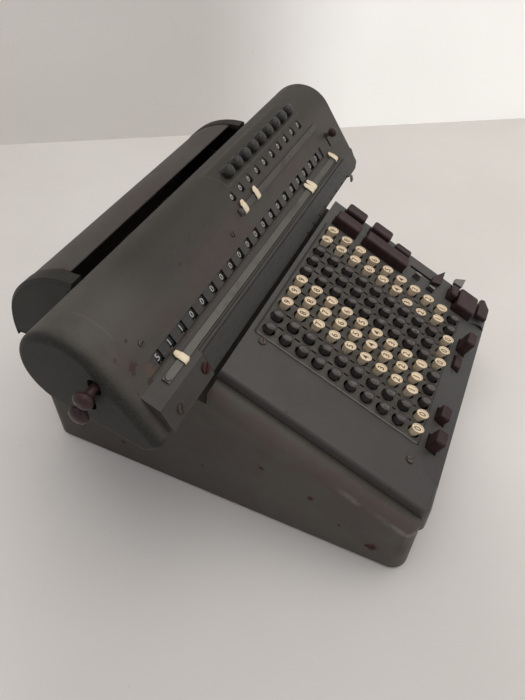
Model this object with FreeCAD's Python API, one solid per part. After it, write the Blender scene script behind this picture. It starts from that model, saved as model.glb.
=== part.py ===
import FreeCAD, Part
import math
import os

from FreeCAD import Vector

# A desk calculator with a full keyboard and a sliding carriage.
# Millimetres and degrees. X runs to the right, Y to the back and Z up.
# The machine stands on z = 0 with the middle of its outline over the origin.

# Length of cutting blocks, longer than the machine
beyond = 500.0

# Keyboard slope
deck_angle = 25.4
top_key_y = -22.25
top_key_height = 164.8

# Digit keys
key_pitch = 16.5
key_columns = 10
key_rows = 10
column_groups = (2, 3, 3, 2)
key_sides = 8
key_top_width = 10.8
key_plate_width = 9.2
key_length = 30.0
key_top_slant = 12.0
key_travel = 5.9
held_column = 9
held_rows = (2, 3)

# Key plate, which lies on the keyboard cover
plate_thickness = 1.5
plate_left_margin = 9.1
plate_right_margin = 12.4
plate_front_margin = 7.0
plate_back_margin = 8.3
key_hole_width = 12.2
hole_margin = 0.3
hole_sides = 6

# Keyboard cover
cover_sink = 9.0
cover_left_margin = 60.75
cover_right_margin = 53.25
cover_front = 28.9
cover_back_margin = 14.0
cover_thickness = 1.6
cover_side = 9.5
cover_fold = 2.5
cover_corner = 8.0
cover_nose = 7.0
apron_foot = 48.0
apron_return = 3.9
scoop_start = 14.4
scoop_angle = 10.0
scoop_width = 205.0
scoop_offset = 5.0
scoop_corner = 21.0

# Function keys: clearance in the cover, grip above it and depth below it
slot_clearance = 0.7
slot_depth = 30.0
function_foot = 8.0
function_corner = 2.4
function_bevel = 0.8
function_stem = 12.0
function_stem_width = 4.0

# Levers and the low front key: left and right from the last key column, front and back, and the top
slider_slot = (34.7, 38.0, 32.0, 61.0)
lever_blade = 7.0
lever_gap = 0.6
lever_depth = 13.0
indicator_places = ((23.3, 26.2, 47.5, 54.5, -2.5), (20.1, 23.0, 29.2, 36.2, -3.5))
release_slot = (44.0, 50.5, 6.0, 12.5)
release_top = 0.5
thumb_place = (25.0, 52.0, -32.4, -20.5)
thumb_slot = (29.4, 38.6, -29.0, -25.3)
thumb_top = -1.0
thumb_foot = -5.8

# Base housing
base_width = 295.0
base_depth = 363.0
base_front = 24.8
base_wall = 2.5
base_foot = 2.5
base_corner = 15.0
shoulder_sink = 20.0
shoulder_margin = 12.4
shoulder_round = 15.0
rear_deck_height = 144.0
bed_front_drop = 17.0
bed_back_rise = 12.0
bed_clearance = 4.5
bed_step = 8.0
bottom_thickness = 1.5
bottom_gap = 0.3

# Openings of the base, left, right, front and back: round the outer keys, and on the carriage bed
key_well = (-51.5, 51.0, -30.0, 7.5)
gear_slot = (-100.0, 100.0, -46.0, -22.0)
well_corner = 6.0

# Feet
foot_diameter = 22.0
foot_height = 6.0
foot_inset = 34.0
foot_sides = 10

# Carriage hood: the window face is tangent to the big round over it
carriage_left_margin = 48.5
carriage_right_margin = 75.0
face_angle = 55.3
face_y = 25.8
face_z = 193.3
face_proud = 1.2
face_above = 30.6
face_below = 45.0
hood_radius = 36.3
hood_wall = 1.5
hood_end_bevel = 2.5
hood_end_wall = 5.0
underside_angle = 15.0
underside_front = 71.0
chin_round = 7.0
underside_lip = 4.0

# Registers
window_width = 7.4
window_height = 9.6
accumulator_windows = 20
accumulator_middle = -5.25
strip_overlap = 18.0
strip_height = 11.3
strip_thickness = 1.2
strip_seat = 2.5
counter_windows = 10
counter_set_in = 2.2
counter_row = 39.0

# Number wheels
wheel_sides = 10
bore_sides = 4
wheel_width = 21.0
counter_wheel_width = 16.0
wheel_length = 9.0
wheel_gap = 1.4
wheel_shaft = 5.0
running_clearance = 0.06

# Setting knobs over the counter
setting_knobs = 9
knob_offset = 18.4
knob_row = 55.8
knob_sides = 8
knob_width = 11.4
knob_height = 8.2
knob_top = 6.4
knob_dome = 2.2
knob_stem = 5.0
knob_stem_inside = 8.0
knob_clearance = 0.3
pocket_depth = 2.4
pocket_width = 16.0
pocket_overhang = 12.0
pocket_corner = 5.0

# Front casting of the carriage
casting_left = 14.3
casting_right = -17.5
ledge_top = 7.2
ridge_drop = 20.0
ridge_height = 8.4
casting_foot = 40.6
casting_foot_height = 5.4
casting_end_round = 9.0
band_left = 60.3
right_block = 27.0
band_thickness = 1.2
band_notch = 2.6
band_notches = 8

# Marker rails and decimal markers
rail_width = 6.2
stud_sides = 8
rail_thickness = 1.6
rail_set_back = 7.2
rail_before = 13.0
rail_after = 28.0
counter_rail_row = 24.8
counter_rail_before = 5.8
counter_rail_after = 23.2
marker_width = 6.6
marker_tip = 8.0
marker_height = 3.6
marker_thickness = 1.2
marker_clearance = 0.3
pair_gap = 0.3
marker_left_place = 11.4
marker_pair_place = 268.0
marker_right_place = 334.0
counter_left_place = 3.2
counter_right_place = 27.7

# Carriage frame and the two rails it slides on
frame_sheet = 2.5
frame_inset = 16.0
front_rail = 6.0
front_rail_back = 11.2
rail_sunk = 1.8
shoe_width = 11.0
shoe_lift = 1.0
groove_clearance = 0.3
rear_rail = 10.0
rear_rail_y = 130.0
rear_rail_z = 178.0
arm_width = 12.0
arm_left = -40.0
arm_right = 24.0
arm_height = 5.5
eye_width = 18.0
eye_sides = 8

# Shift lever and tabulator lever at the right of the carriage
shift_slot_gap = 33.7
shift_slot_width = 3.2
shift_slot_top = 12.4
shift_slot_foot = -4.0
shift_knob = 9.0
tab_inset = 42.0
tab_lever_y = -4.9
tab_thickness = 2.0
tab_drop = 9.0
tab_root = 3.5
tab_slant = 8.5

# Clearing knobs on the left end of the carriage
clearing_sides = 12
clearing_knob = 15.0
clearing_reach = 16.5
clearing_stem = 6.4
clearing_hole = 10.0
clearing_slot = 5.0
clearing_inside = 7.5
upper_clearing_y = 44.4
upper_clearing_z = 202.0
lower_clearing_y = 52.5
lower_clearing_z = 183.0

# Rear cover, a quarter round behind the carriage
hump_radius = 74.0
hump_front = 110.9
hump_sheet = 2.0
hump_lip = 6.0
hump_lip_reach = 3.2
hump_skirt = 6.0
hump_end = 13.5
hump_end_bevel = 2.5
hump_end_wall = 4.0
hump_end_proud = 0.6

# Inner mechanism
mechanism_gap = 11.5
mechanism_sheet = 3.0
mechanism_clearance = 4.0
tie_bar = 10.0
post_width = 8.0
motor_diameter = 62.0
motor_length = 74.0
motor_set_in = 8.0
shaft_y = 60.0
shaft_z = 72.0
shaft_diameter = 10.0
shaft_end_gap = 0.5
drum_diameter = 42.0
drum_length = 9.0
drum_sides = 8
shaft_sides = 8
tray_thickness = 2.0
motor_sides = 12
bracket_gap = 4.0

# Screws
screw_sides = 8
screw_head = 7.0
screw_head_height = 1.6
screw_slot = 1.0
screw_shank = 8.0
shank_width = 2.8
big_screw_head = 9.0


def tangent_arc(corner, before, after, radius):
    """The arc of the given radius that touches the two sides of a corner, as its three points."""
    to_before = (before - corner).normalize()
    to_after = (after - corner).normalize()
    half_angle = to_before.getAngle(to_after) / 2
    setback = radius / math.tan(half_angle)
    middle = (to_before + to_after).normalize() * (radius / math.sin(half_angle) - radius)
    return corner + to_before * setback, corner + middle, corner + to_after * setback


def outline(corners):
    """A closed flat face through the corners (point, radius), with each corner rounded."""
    edges = []
    ends = []
    for index, (corner, radius) in enumerate(corners):
        if radius:
            before = corners[index - 1][0]
            after = corners[(index + 1) % len(corners)][0]
            start, middle, end = tangent_arc(corner, before, after, radius)
            edges.append(Part.Arc(start, middle, end).toShape())
            ends.append((start, end))
        else:
            edges.append(None)
            ends.append((corner, corner))
    wire_edges = []
    for index, edge in enumerate(edges):
        if edge:
            wire_edges.append(edge)
        start = ends[index][1]
        end = ends[(index + 1) % len(ends)][0]
        if (end - start).Length > 1e-6:
            wire_edges.append(Part.LineSegment(start, end).toShape())
    return Part.Face(Part.Wire(wire_edges))


def side_prism(points, left, right):
    """Extrudes a side outline, given as (y, z, radius), from left to right."""
    face = outline([(Vector(left, y, z), radius) for y, z, radius in points])
    return face.extrude(Vector(right - left, 0, 0))


def plan_prism(points, bottom, top):
    """Extrudes a plan outline, given as (x, y, radius), from bottom to top."""
    face = outline([(Vector(x, y, bottom), radius) for x, y, radius in points])
    return face.extrude(Vector(0, 0, top - bottom))


def rounded_block(left, right, front, back, bottom, top, radius):
    """A block with its four upright edges rounded."""
    corners = [(left, front, radius), (right, front, radius), (right, back, radius), (left, back, radius)]
    return plan_prism(corners, bottom, top)


def block(left, right, front, back, bottom, top):
    return Part.makeBox(right - left, back - front, top - bottom, Vector(left, front, bottom))


def rod(diameter, left, right, y, z):
    return Part.makeCylinder(diameter / 2, right - left, Vector(left, y, z), Vector(1, 0, 0))


def flat_face(points):
    return Part.Face(Part.makePolygon(points + [points[0]]))


def turned(sides, steps):
    """A faceted piece about Z, through the steps (height, width across corners) listed upwards."""
    rings = []
    for height, width in steps:
        ring = []
        for index in range(sides):
            turn = 2 * math.pi * (index + 0.5) / sides
            ring.append(Vector(width / 2 * math.cos(turn), width / 2 * math.sin(turn), height))
        rings.append(ring)
    faces = [flat_face(rings[0]), flat_face(rings[-1])]
    for lower, upper in zip(rings, rings[1:]):
        for index in range(sides):
            after = (index + 1) % sides
            faces.append(flat_face([lower[index], lower[after], upper[after], upper[index]]))
    shell = Part.makeShell(faces)
    shell.sewShape()
    solid = Part.makeSolid(shell)
    if solid.Volume < 0:
        solid.reverse()
    return solid


def along_x(shape, x, y, z):
    """Lays a piece drawn about Z along X, with its foot at the given place."""
    placed = shape.copy()
    placed.rotate(Vector(0, 0, 0), Vector(0, 1, 0), 90)
    placed.translate(Vector(x, y, z))
    return placed


def cut_corner_block(left, right, front, back, bottom, top, cut):
    """A block with its four upright edges cut off at 45 degrees."""
    return plan_prism([(left + cut, front, 0), (right - cut, front, 0),
                       (right, front + cut, 0), (right, back - cut, 0),
                       (right - cut, back, 0), (left + cut, back, 0),
                       (left, back - cut, 0), (left, front + cut, 0)], bottom, top)


def corner_width(sides, flat_width):
    """Width across the corners of a regular outline, from its width across flats."""
    return flat_width / math.cos(math.pi / sides)


def polygon_prism(sides, width, length, base, axis):
    """A regular prism, with width across its corners."""
    points = []
    across = axis.cross(Vector(1, 0, 0))
    if across.Length < 0.5:
        across = axis.cross(Vector(0, 1, 0))
    across.normalize()
    other = axis.cross(across)
    for index in range(sides):
        turn = 2 * math.pi * (index + 0.5) / sides
        points.append(base + (across * math.cos(turn) + other * math.sin(turn)) * (width / 2))
    face = Part.Face(Part.makePolygon(points + [points[0]]))
    return face.extrude(axis * length)


def tilt(shape, angle, y, z):
    """Turns a shape drawn flat about X and carries its origin to (y, z)."""
    placed = shape.copy()
    placed.rotate(Vector(0, 0, 0), Vector(1, 0, 0), angle)
    placed.translate(Vector(0, y, z))
    return placed


def tilted_point(angle, y, z, along, out):
    """Where a point of a tilted plane lies in the side view, as (y, z)."""
    turn = math.radians(angle)
    return (y + along * math.cos(turn) - out * math.sin(turn),
            z + along * math.sin(turn) + out * math.cos(turn))


# The keyboard slope: x across, then up the slope from the zero keys, then out of it.
def on_deck(shape):
    return tilt(shape, deck_angle, zero_key_y(), zero_key_height())


def deck_point(along, out):
    return tilted_point(deck_angle, zero_key_y(), zero_key_height(), along, out)


# The carriage face: x across, then up the face from the lower windows, then out of it.
def on_face(shape):
    return tilt(shape, face_angle, face_y, face_z)


def face_point(along, out):
    return tilted_point(face_angle, face_y, face_z, along, out)


def hood_centre():
    return face_point(face_above, face_proud - hood_radius)


# The carriage underside: x across, then back along it from where it meets the big round.
def underside_origin():
    turn = math.radians(underside_angle)
    y, z = hood_centre()
    return y + hood_radius * math.sin(turn), z - hood_radius * math.cos(turn)


def on_underside(shape):
    y, z = underside_origin()
    return tilt(shape, underside_angle, y, z)


def underside_point(along, out):
    y, z = underside_origin()
    return tilted_point(underside_angle, y, z, along, out)


def bank_depth():
    """From the zero keys to the top row of keys, along the slope."""
    return (key_rows - 1) * key_pitch


def zero_key_y():
    return top_key_y - bank_depth() * math.cos(math.radians(deck_angle))


def zero_key_height():
    return top_key_height - bank_depth() * math.sin(math.radians(deck_angle))


def key_bank_x():
    return (cover_left_margin - cover_right_margin) / 2


def column_x(column):
    return key_bank_x() + (column - (key_columns + 1) / 2) * key_pitch


def cover_width():
    return (key_columns - 1) * key_pitch + cover_left_margin + cover_right_margin


def accumulator_first():
    return accumulator_middle - (accumulator_windows - 1) / 2 * key_pitch


def accumulator_last():
    return accumulator_middle + (accumulator_windows - 1) / 2 * key_pitch


def counter_last():
    return accumulator_last() - counter_set_in


def counter_first():
    return counter_last() - (counter_windows - 1) * key_pitch


def knob_first():
    return counter_first() + knob_offset


def shift_slot_x():
    return accumulator_last() + shift_slot_gap


def carriage_left():
    return accumulator_first() - carriage_left_margin


def carriage_right():
    return accumulator_last() + carriage_right_margin


def row_places(first, count):
    return [first + index * key_pitch for index in range(count)]


def base_front_y():
    return zero_key_y() - base_front


def base_back_y():
    return base_front_y() + base_depth


def base_outline():
    """The side view of the base, anticlockwise from the front foot."""
    shoulder_low = tilted_point(deck_angle, zero_key_y(), zero_key_height(), bank_depth() + shoulder_margin, -shoulder_sink)
    front = base_front_y()
    slope = math.tan(math.radians(deck_angle))
    front_top = shoulder_low[1] - (shoulder_low[0] - front) * slope
    bed_front = underside_point(-underside_front, -bed_clearance)
    bed_back = underside_point(bed_back_rise, -bed_clearance)
    wall = hump_front - bottom_gap
    return [(front, base_foot, 0),
            (base_back_y(), base_foot, 0),
            (base_back_y(), rear_deck_height, 0),
            (wall, rear_deck_height, 0),
            (wall, bed_back[1] + bed_back_rise, 0),
            (wall - bed_step, bed_back[1] + bed_back_rise - 2, 0),
            (bed_back[0], bed_back[1], 0),
            (bed_front[0], bed_front[1], 0),
            (shoulder_low[0] + 2, shoulder_low[1] - bed_front_drop + 2, 0),
            (shoulder_low[0], shoulder_low[1], 0),
            (front, front_top, 5)]


def base_block(inset):
    """The base as one solid, with every outer face moved in by the inset."""
    half = base_width / 2
    corners = base_outline()
    side = outline([(Vector(-half, y, z), radius) for y, z, radius in corners])
    if inset:
        side = side.makeOffset2D(-inset, 2)
    side.translate(Vector(inset, 0, 0))
    body = side.extrude(Vector(base_width - 2 * inset, 0, 0))
    make_plan = cut_corner_block if inset else rounded_block
    plan = make_plan(inset - half, half - inset, base_front_y() + inset, base_back_y() - inset,
                     0, 2 * rear_deck_height, base_corner / 2 if inset else base_corner)
    body = body.common(plan)
    shoulder_y = corners[-2][0]
    start = -beyond / 2
    section = outline([(Vector(inset - half, start, -beyond), 0),
                       (Vector(half - inset, start, -beyond), 0),
                       (Vector(half - inset, start, -shoulder_sink - inset), shoulder_round - inset),
                       (Vector(inset - half, start, -shoulder_sink - inset), shoulder_round - inset)])
    rounded = on_deck(section.extrude(Vector(0, beyond, 0)))
    back = block(-half, half, shoulder_y + inset, base_back_y(), 0, 2 * rear_deck_height)
    return body.common(rounded).fuse(body.common(back)).removeSplitter()


def base_housing():
    """Pressed steel housing, open below, with openings for the keys and for the carriage gears."""
    shell = base_block(0).cut(base_block(base_wall))
    shell = shell.cut(block(-base_width / 2 + base_wall, base_width / 2 - base_wall,
                            base_front_y() + base_corner, base_back_y() - base_corner, 0, 20))
    shell = shell.cut(block(-base_width / 2 + base_corner, base_width / 2 - base_corner,
                            base_front_y() + base_wall, base_back_y() - base_wall, 0, 20))
    left, right, front, back = key_well
    well = on_deck(rounded_block(column_x(1) + left, column_x(key_columns) + right,
                                 front, bank_depth() + back, -beyond / 8, 0, well_corner))
    left, right, front, back = gear_slot
    slot = on_underside(block(left, right, front, back, -beyond / 16, 0))
    half = base_width / 2 - hump_end + 6
    room = rounded_block(-half, half, rear_rail_y - 10, rear_rail_y + 34,
                         rear_deck_height - 10, rear_deck_height + 10, well_corner)
    groove = front_rail_rod(0.05)
    return shell.cut([well, slot, room, groove])


def front_rail_place():
    along = -underside_front + front_rail_back
    return underside_point(along, -bed_clearance + front_rail / 2 - rail_sunk)


def front_rail_rod(clearance):
    y, z = front_rail_place()
    half = base_width / 2 - 2
    return rod(front_rail + 2 * clearance, -half, half, y, z)


def mechanism_half():
    """Half the width over the frame's side plates."""
    return base_width / 2 - mechanism_gap


def motor_left():
    return motor_set_in - mechanism_half()


def carriage_rails():
    """Two round rails: one in a groove of the bed, one held behind the carriage."""
    half = mechanism_half() - mechanism_sheet
    rear = rod(rear_rail, -half, half, rear_rail_y, rear_rail_z)
    return [front_rail_rod(0), rear]


def bottom_plate():
    """The floor that closes the housing and carries the mechanism and the feet."""
    gap = base_wall + bottom_gap
    half = base_width / 2 - gap
    return cut_corner_block(-half, half, base_front_y() + gap, base_back_y() - gap,
                            foot_height - 1, foot_height - 1 + bottom_thickness, base_corner / 2)


def rubber_feet():
    feet = []
    for x in (foot_inset - base_width / 2, base_width / 2 - foot_inset):
        for y in (base_front_y() + foot_inset, base_back_y() - foot_inset):
            foot = turned(foot_sides, [(0, foot_diameter - 3), (foot_height - 1, foot_diameter)])
            foot.translate(Vector(x, y, 0))
            feet.append(foot)
    return feet


def cover_block(inset):
    """The keyboard cover as one solid, with the outer faces moved in by the inset."""
    half = cover_width() / 2 - inset
    front = zero_key_y() - cover_front + inset
    slope = math.tan(math.radians(deck_angle))
    top_back = deck_point(bank_depth() + cover_back_margin, -cover_sink - inset)
    top_front = top_back[1] - (top_back[0] - front) * slope
    depth = cover_sink + (cover_side if not inset else 3 * cover_side)
    low_back = deck_point(bank_depth() + cover_back_margin, -depth)
    reach = front + (apron_return if not inset else 3 * apron_return)
    low_front = low_back[1] - (low_back[0] - reach) * slope
    foot = apron_foot if not inset else apron_foot - cover_side
    body = side_prism([(front, foot, 0),
                       (reach, foot, 0),
                       (reach, low_front, 0),
                       (low_back[0], low_back[1], 0),
                       (top_back[0], top_back[1], 0),
                       (front, top_front, cover_nose - inset)], -half, half)
    if inset:
        plan = cut_corner_block(-half, half, front, beyond, 0, beyond, cover_corner / 2)
        return body.common(plan).cut(scoop(inset))
    plan = rounded_block(-half, half, front, beyond, 0, beyond, cover_corner)
    start = -beyond / 2
    section = outline([(Vector(-half, start, -beyond), 0),
                       (Vector(half, start, -beyond), 0),
                       (Vector(half, start, -cover_sink), cover_fold),
                       (Vector(-half, start, -cover_sink), cover_fold)])
    folded = on_deck(section.extrude(Vector(0, beyond, 0)))
    return body.common(plan).common(folded).cut(scoop(0))


def scoop(inset):
    """The steeper facet pressed into the front of the cover, with round ends."""
    middle = key_bank_x() - scoop_offset
    sharp = outline([(Vector(middle - scoop_width / 2, -beyond, 0), 0),
                     (Vector(middle + scoop_width / 2, -beyond, 0), 0),
                     (Vector(middle + scoop_width / 2, 0, 0), scoop_corner),
                     (Vector(middle - scoop_width / 2, 0, 0), scoop_corner)])
    cutter = sharp.extrude(Vector(0, 0, beyond))
    cutter.rotate(Vector(0, 0, 0), Vector(1, 0, 0), scoop_angle)
    cutter.translate(Vector(0, -scoop_start, -cover_sink - inset))
    return on_deck(cutter)


def from_last_column(place):
    """Carries left and right of a place beside the key bank from the last column to the slope."""
    return (place[0] + column_x(key_columns), place[1] + column_x(key_columns)) + tuple(place[2:])


def function_key_places():
    """Name, left, right, front, back and top of each function key, on the slope."""
    beside = [("minus_key", 17.3, 31.0, 125.1, 153.1, 2.0),
              ("divide_key", 36.3, 49.0, 125.9, 148.3, 2.8),
              ("plus_bar", 17.3, 31.0, 66.5, 117.0, 2.0),
              ("multiply_key", 36.3, 49.0, 94.0, 116.5, 2.8),
              ("repeat_key", 36.3, 45.0, 67.6, 86.0, 0.0),
              ("clear_key", 26.5, 42.0, 5.5, 13.5, 1.0),
              ("total_bar", 16.6, 43.8, -17.2, 4.5, 1.5)]
    before = [("shift_left_key", -76.2, -61.2, -26.2, -15.2, 5.6),
              ("shift_right_key", -44.1, -29.6, -25.9, -15.5, 0.2),
              ("stop_key", 24.0, 40.0, -23.5, -15.5, -5.0),
              ("start_key", 47.5, 64.0, -24.8, -14.9, 8.2)]
    return [(key[0],) + from_last_column(key[1:]) for key in beside] + before


def function_key(left, right, front, back, top):
    """A moulded key cap on a flat stem, with cut corners and a bevelled top."""
    foot = -cover_sink - function_foot
    cap = cut_corner_block(left, right, front, back, foot, top, function_corner)
    rim = [edge for edge in cap.Edges if edge.BoundBox.ZMin > top - 0.01]
    cap = cap.makeChamfer(function_bevel, rim)
    x = (left + right) / 2
    y = (front + back) / 2
    half = function_stem_width / 2
    stem = block(x - half, x + half, y - 1, y + 1, foot - function_stem, foot)
    return on_deck(cap.fuse(stem))


def key_slots():
    """Openings in the cover round the function keys and levers."""
    slots = []
    for name, left, right, front, back, top in function_key_places():
        gap = slot_clearance
        slots.append(block(left - gap, right + gap, front - gap, back + gap, -cover_sink - slot_depth, 0))
    for place in (slider_slot, release_slot, thumb_slot):
        left, right, front, back = from_last_column(place)
        slots.append(block(left, right, front, back, -cover_sink - slot_depth, 0))
    for place in indicator_places:
        left, right, front, back, top = from_last_column(place)
        slots.append(block(left - gap, right + gap, front - gap, back + gap, -cover_sink - slot_depth, 0))
    return slots


def keyboard_cover():
    """Folded sheet cover of the keyboard, open at the back and below."""
    shell = cover_block(0).cut(cover_block(cover_thickness))
    side = corner_width(hole_sides, key_hole_width) / 2 + hole_margin
    end = key_hole_width / 2 + hole_margin
    window = block(column_x(1) - side, column_x(key_columns) + side,
                   -end, bank_depth() + end, -cover_sink - slot_depth, 0)
    openings = [on_deck(shape) for shape in [window] + key_slots() + screw_holes()]
    return largest_solid(shell.cut(openings))


def largest_solid(shape):
    return max(shape.Solids, key=lambda solid: solid.Volume)


def key_field():
    """Left, right, front and back of the key plate."""
    return (column_x(1) - plate_left_margin, column_x(key_columns) + plate_right_margin,
            -plate_front_margin, bank_depth() + plate_back_margin)


def key_plate():
    """Flat plate with a six-sided hole for every digit key."""
    left, right, front, back = key_field()
    plate = block(left, right, front, back, -cover_sink, -cover_sink + plate_thickness)
    hole_width = corner_width(hole_sides, key_hole_width)
    holes = []
    for column in range(1, key_columns + 1):
        for row in range(key_rows):
            base = Vector(column_x(column), row * key_pitch, -cover_sink - 1)
            holes.append(polygon_prism(hole_sides, hole_width, plate_thickness + 2, base, Vector(0, 0, 1)))
    return on_deck(plate.cut(holes))


def digit_key():
    """A tapered key peg with a slanted top, its top edge at the slope's origin."""
    taper = (key_top_width - key_plate_width) / cover_sink
    foot_width = key_top_width - taper * key_length
    peg = turned(key_sides, [(-key_length, foot_width), (2, key_top_width + 2 * taper)])
    above = block(-20, 20, -20, 20, 0, 20)
    above.rotate(Vector(0, 0, 0), Vector(1, 0, 0), -key_top_slant)
    above.translate(Vector(0, 0, -1.0))
    return peg.cut(above)


def digit_keys(first_column, columns):
    """The digit keys of neighbouring columns, with the held keys at the end of their travel."""
    keys = []
    pattern = digit_key()
    for column in range(first_column, first_column + columns):
        for row in range(key_rows):
            held = column == held_column and row in held_rows
            key = pattern.copy()
            key.translate(Vector(column_x(column), row * key_pitch, -key_travel if held else 0))
            keys.append(on_deck(key))
    return keys


def slider_lever():
    """Blade-shaped finger lever that runs in the slot right of the keys."""
    left, right, front, back = from_last_column(slider_slot)
    tip = front - lever_blade
    blade = plan_prism([(left - 5.7, front + 3.0, 0), (left - 0.7, tip, 0),
                        (right + 18.5, tip + 0.5, 0), (right, front + 3.5, 0)],
                       -cover_sink + 1, -cover_sink + 5)
    gap = lever_gap
    shank = block(left + gap, right - gap, front + 1.2, front + 3.2, -cover_sink - lever_depth, -cover_sink + 4)
    return on_deck(blade.fuse(shank))


def indicator_levers():
    """Two small levers beside the last key column."""
    levers = []
    for place in indicator_places:
        left, right, front, back, top = from_last_column(place)
        levers.append(on_deck(block(left, right, front, back, -cover_sink - lever_depth, top)))
    return levers


def release_lever():
    """Pointed finger lever at the right edge of the keyboard."""
    left, right, front, back = from_last_column(release_slot)
    blade = plan_prism([(left, back + 1.5, 0), (left + 0.5, front - 1.5, 0),
                        (right + 9.5, front - 3.0, 0), (right + 0.5, back + 1.5, 0)],
                       release_top - 4, release_top)
    shank = block(left + 1, right - 1, front + 2, back - 1, -cover_sink - lever_depth, release_top - 4)
    return on_deck(blade.fuse(shank))


def thumb_key():
    """Low key with bevelled front corners at the right front of the keyboard."""
    left, right, front, back = from_last_column(thumb_place)
    cap = plan_prism([(left, back, 0), (left, front, 0), (right - 10, front, 0),
                      (right, front + 7.5, 0), (right - 2.5, back, 0)], thumb_foot, thumb_top)
    slot_left, slot_right, slot_front, slot_back = from_last_column(thumb_slot)
    gap = lever_gap
    stem = block(slot_left + gap, slot_right - gap, slot_front + gap, slot_back - gap,
                 -cover_sink - slot_depth, thumb_foot)
    return on_deck(cap.fuse(stem))


def hood_outline(inset):
    """The side view of the carriage as corners of a face, moved in by the inset."""
    centre_y, centre_z = hood_centre()
    radius = hood_radius - inset
    face_turn = math.radians(face_angle)
    low_turn = math.radians(underside_angle)
    face_end = Vector(0, centre_y - radius * math.sin(face_turn), centre_z + radius * math.cos(face_turn))
    low_end = Vector(0, centre_y + radius * math.sin(low_turn), centre_z - radius * math.cos(low_turn))
    middle_turn = (face_turn + low_turn) / 2
    far_side = Vector(0, centre_y + radius * math.cos(middle_turn), centre_z + radius * math.sin(middle_turn))
    brow = Vector(0, *face_point(-face_below, face_proud - inset))
    chin = Vector(0, *underside_point(-underside_front, inset))
    chin_in = chin + Vector(0, math.cos(low_turn), math.sin(low_turn)) * inset
    brow_in = brow + Vector(0, math.cos(face_turn), math.sin(face_turn)) * inset
    corner = chin_round - inset
    first = tangent_arc(brow_in, face_end, chin_in, corner)
    second = tangent_arc(chin_in, brow_in, low_end, corner)
    edges = [Part.Arc(low_end, far_side, face_end).toShape(),
             Part.LineSegment(face_end, first[0]).toShape(),
             Part.Arc(*first).toShape(),
             Part.LineSegment(first[2], second[0]).toShape(),
             Part.Arc(*second).toShape(),
             Part.LineSegment(second[2], low_end).toShape()]
    return Part.Face(Part.Wire(edges))


def hood_block(inset, end_inset, bevel):
    """The carriage body as one solid, its faces moved in by the inset and its ends bevelled."""
    face = hood_outline(inset)
    face.translate(Vector(carriage_left() + end_inset, 0, 0))
    body = face.extrude(Vector(carriage_right() - carriage_left() - 2 * end_inset, 0, 0))
    if not bevel:
        return body
    rims = [edge for edge in body.Edges if edge.BoundBox.XLength < 0.01]
    return body.makeChamfer(bevel, rims)


def knob_turn():
    """How far round the hood the knob row lies, from the top of the flat face."""
    return math.degrees(math.asin((knob_row - face_above) / hood_radius))


def on_hood_top(shape):
    """Carries a shape drawn flat to the hood's round, square to it, where the knobs stand."""
    y, z = hood_centre()
    turn = math.radians(face_angle - knob_turn())
    return tilt(shape, face_angle - knob_turn(),
                y - hood_radius * math.sin(turn), z + hood_radius * math.cos(turn))


def knob_seat():
    """Height of the hood's round over the face plane, at the knob row."""
    return face_proud - hood_radius * (1 - math.cos(math.radians(knob_turn())))


def knob_pocket(growth):
    """The shallow trough round the setting knobs."""
    half = pocket_width / 2 + growth
    last = row_places(knob_first(), setting_knobs)[-1]
    return on_hood_top(cut_corner_block(knob_first() - pocket_overhang - growth,
                                        last + pocket_overhang + growth, -half, half,
                                        -pocket_depth - growth, 12, pocket_corner))


def carriage_hood():
    """Sheet hood of the carriage, open below, with windows, a knob trough and lever slots."""
    outer = hood_block(0, 0, hood_end_bevel)
    shell = outer.cut(hood_block(hood_wall, hood_end_wall, 0))
    shell = shell.fuse(knob_pocket(hood_wall).common(outer)).cut(knob_pocket(0))
    cuts = []
    left, right = strip_ends()
    cuts.append(on_face(block(left, right, -strip_height / 2, strip_height / 2, -5, 5)))
    for x in row_places(counter_first(), counter_windows):
        cuts.append(on_face(block(x - window_width / 2, x + window_width / 2,
                                  counter_row - window_height / 2, counter_row + window_height / 2,
                                  -6, 6)))
    hole_width = corner_width(4, knob_stem + 2 * knob_clearance)
    for x in row_places(knob_first(), setting_knobs):
        cuts.append(on_face(polygon_prism(4, hole_width, 20, Vector(x, knob_row, knob_seat() - 15),
                                          Vector(0, 0, 1))))
    cuts.append(on_face(block(shift_slot_x() - shift_slot_width / 2, shift_slot_x() + shift_slot_width / 2,
                              shift_slot_foot, shift_slot_top, -6, 6)))
    lip = underside_lip
    cuts.append(on_underside(block(carriage_left() + lip, carriage_right() - lip,
                                   -underside_front + lip + 1, 2, -4, 4)))
    for x in (arm_left, arm_right):
        half = arm_width / 2 + 1
        cuts.append(block(x - half, x + half, hood_centre()[0], hump_front + 5,
                          rear_rail_z + 3.5, rear_rail_z + 12))
    for y, z in clearing_places():
        cuts.append(clearing_opening(y, z))
    return largest_solid(shell.cut(cuts))


def strip_ends():
    """Left and right end of the opening over the accumulator windows."""
    return accumulator_first() - strip_overlap, accumulator_last() + strip_overlap - 5.5


def window_strip():
    """Strip with the accumulator windows, fixed behind the long opening of the hood."""
    left, right = strip_ends()
    seat = strip_seat
    top = face_proud - hood_wall
    strip = block(left - seat, right + seat, -strip_height / 2 - seat, strip_height / 2 + seat,
                  top - strip_thickness, top)
    windows = []
    for x in row_places(accumulator_first(), accumulator_windows):
        windows.append(block(x - window_width / 2, x + window_width / 2,
                             -window_height / 2, window_height / 2, -10, 10))
    return on_face(strip.cut(windows))


def wheel_depth(width):
    """Depth of the wheel axes behind the face plane."""
    return hood_wall - face_proud + strip_thickness + wheel_gap + width / 2


def wheel_rows():
    """Height up the face, depth behind it and wheel width of the two registers."""
    return [(0, wheel_depth(wheel_width), wheel_width),
            (counter_row, wheel_depth(counter_wheel_width), counter_wheel_width)]


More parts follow.
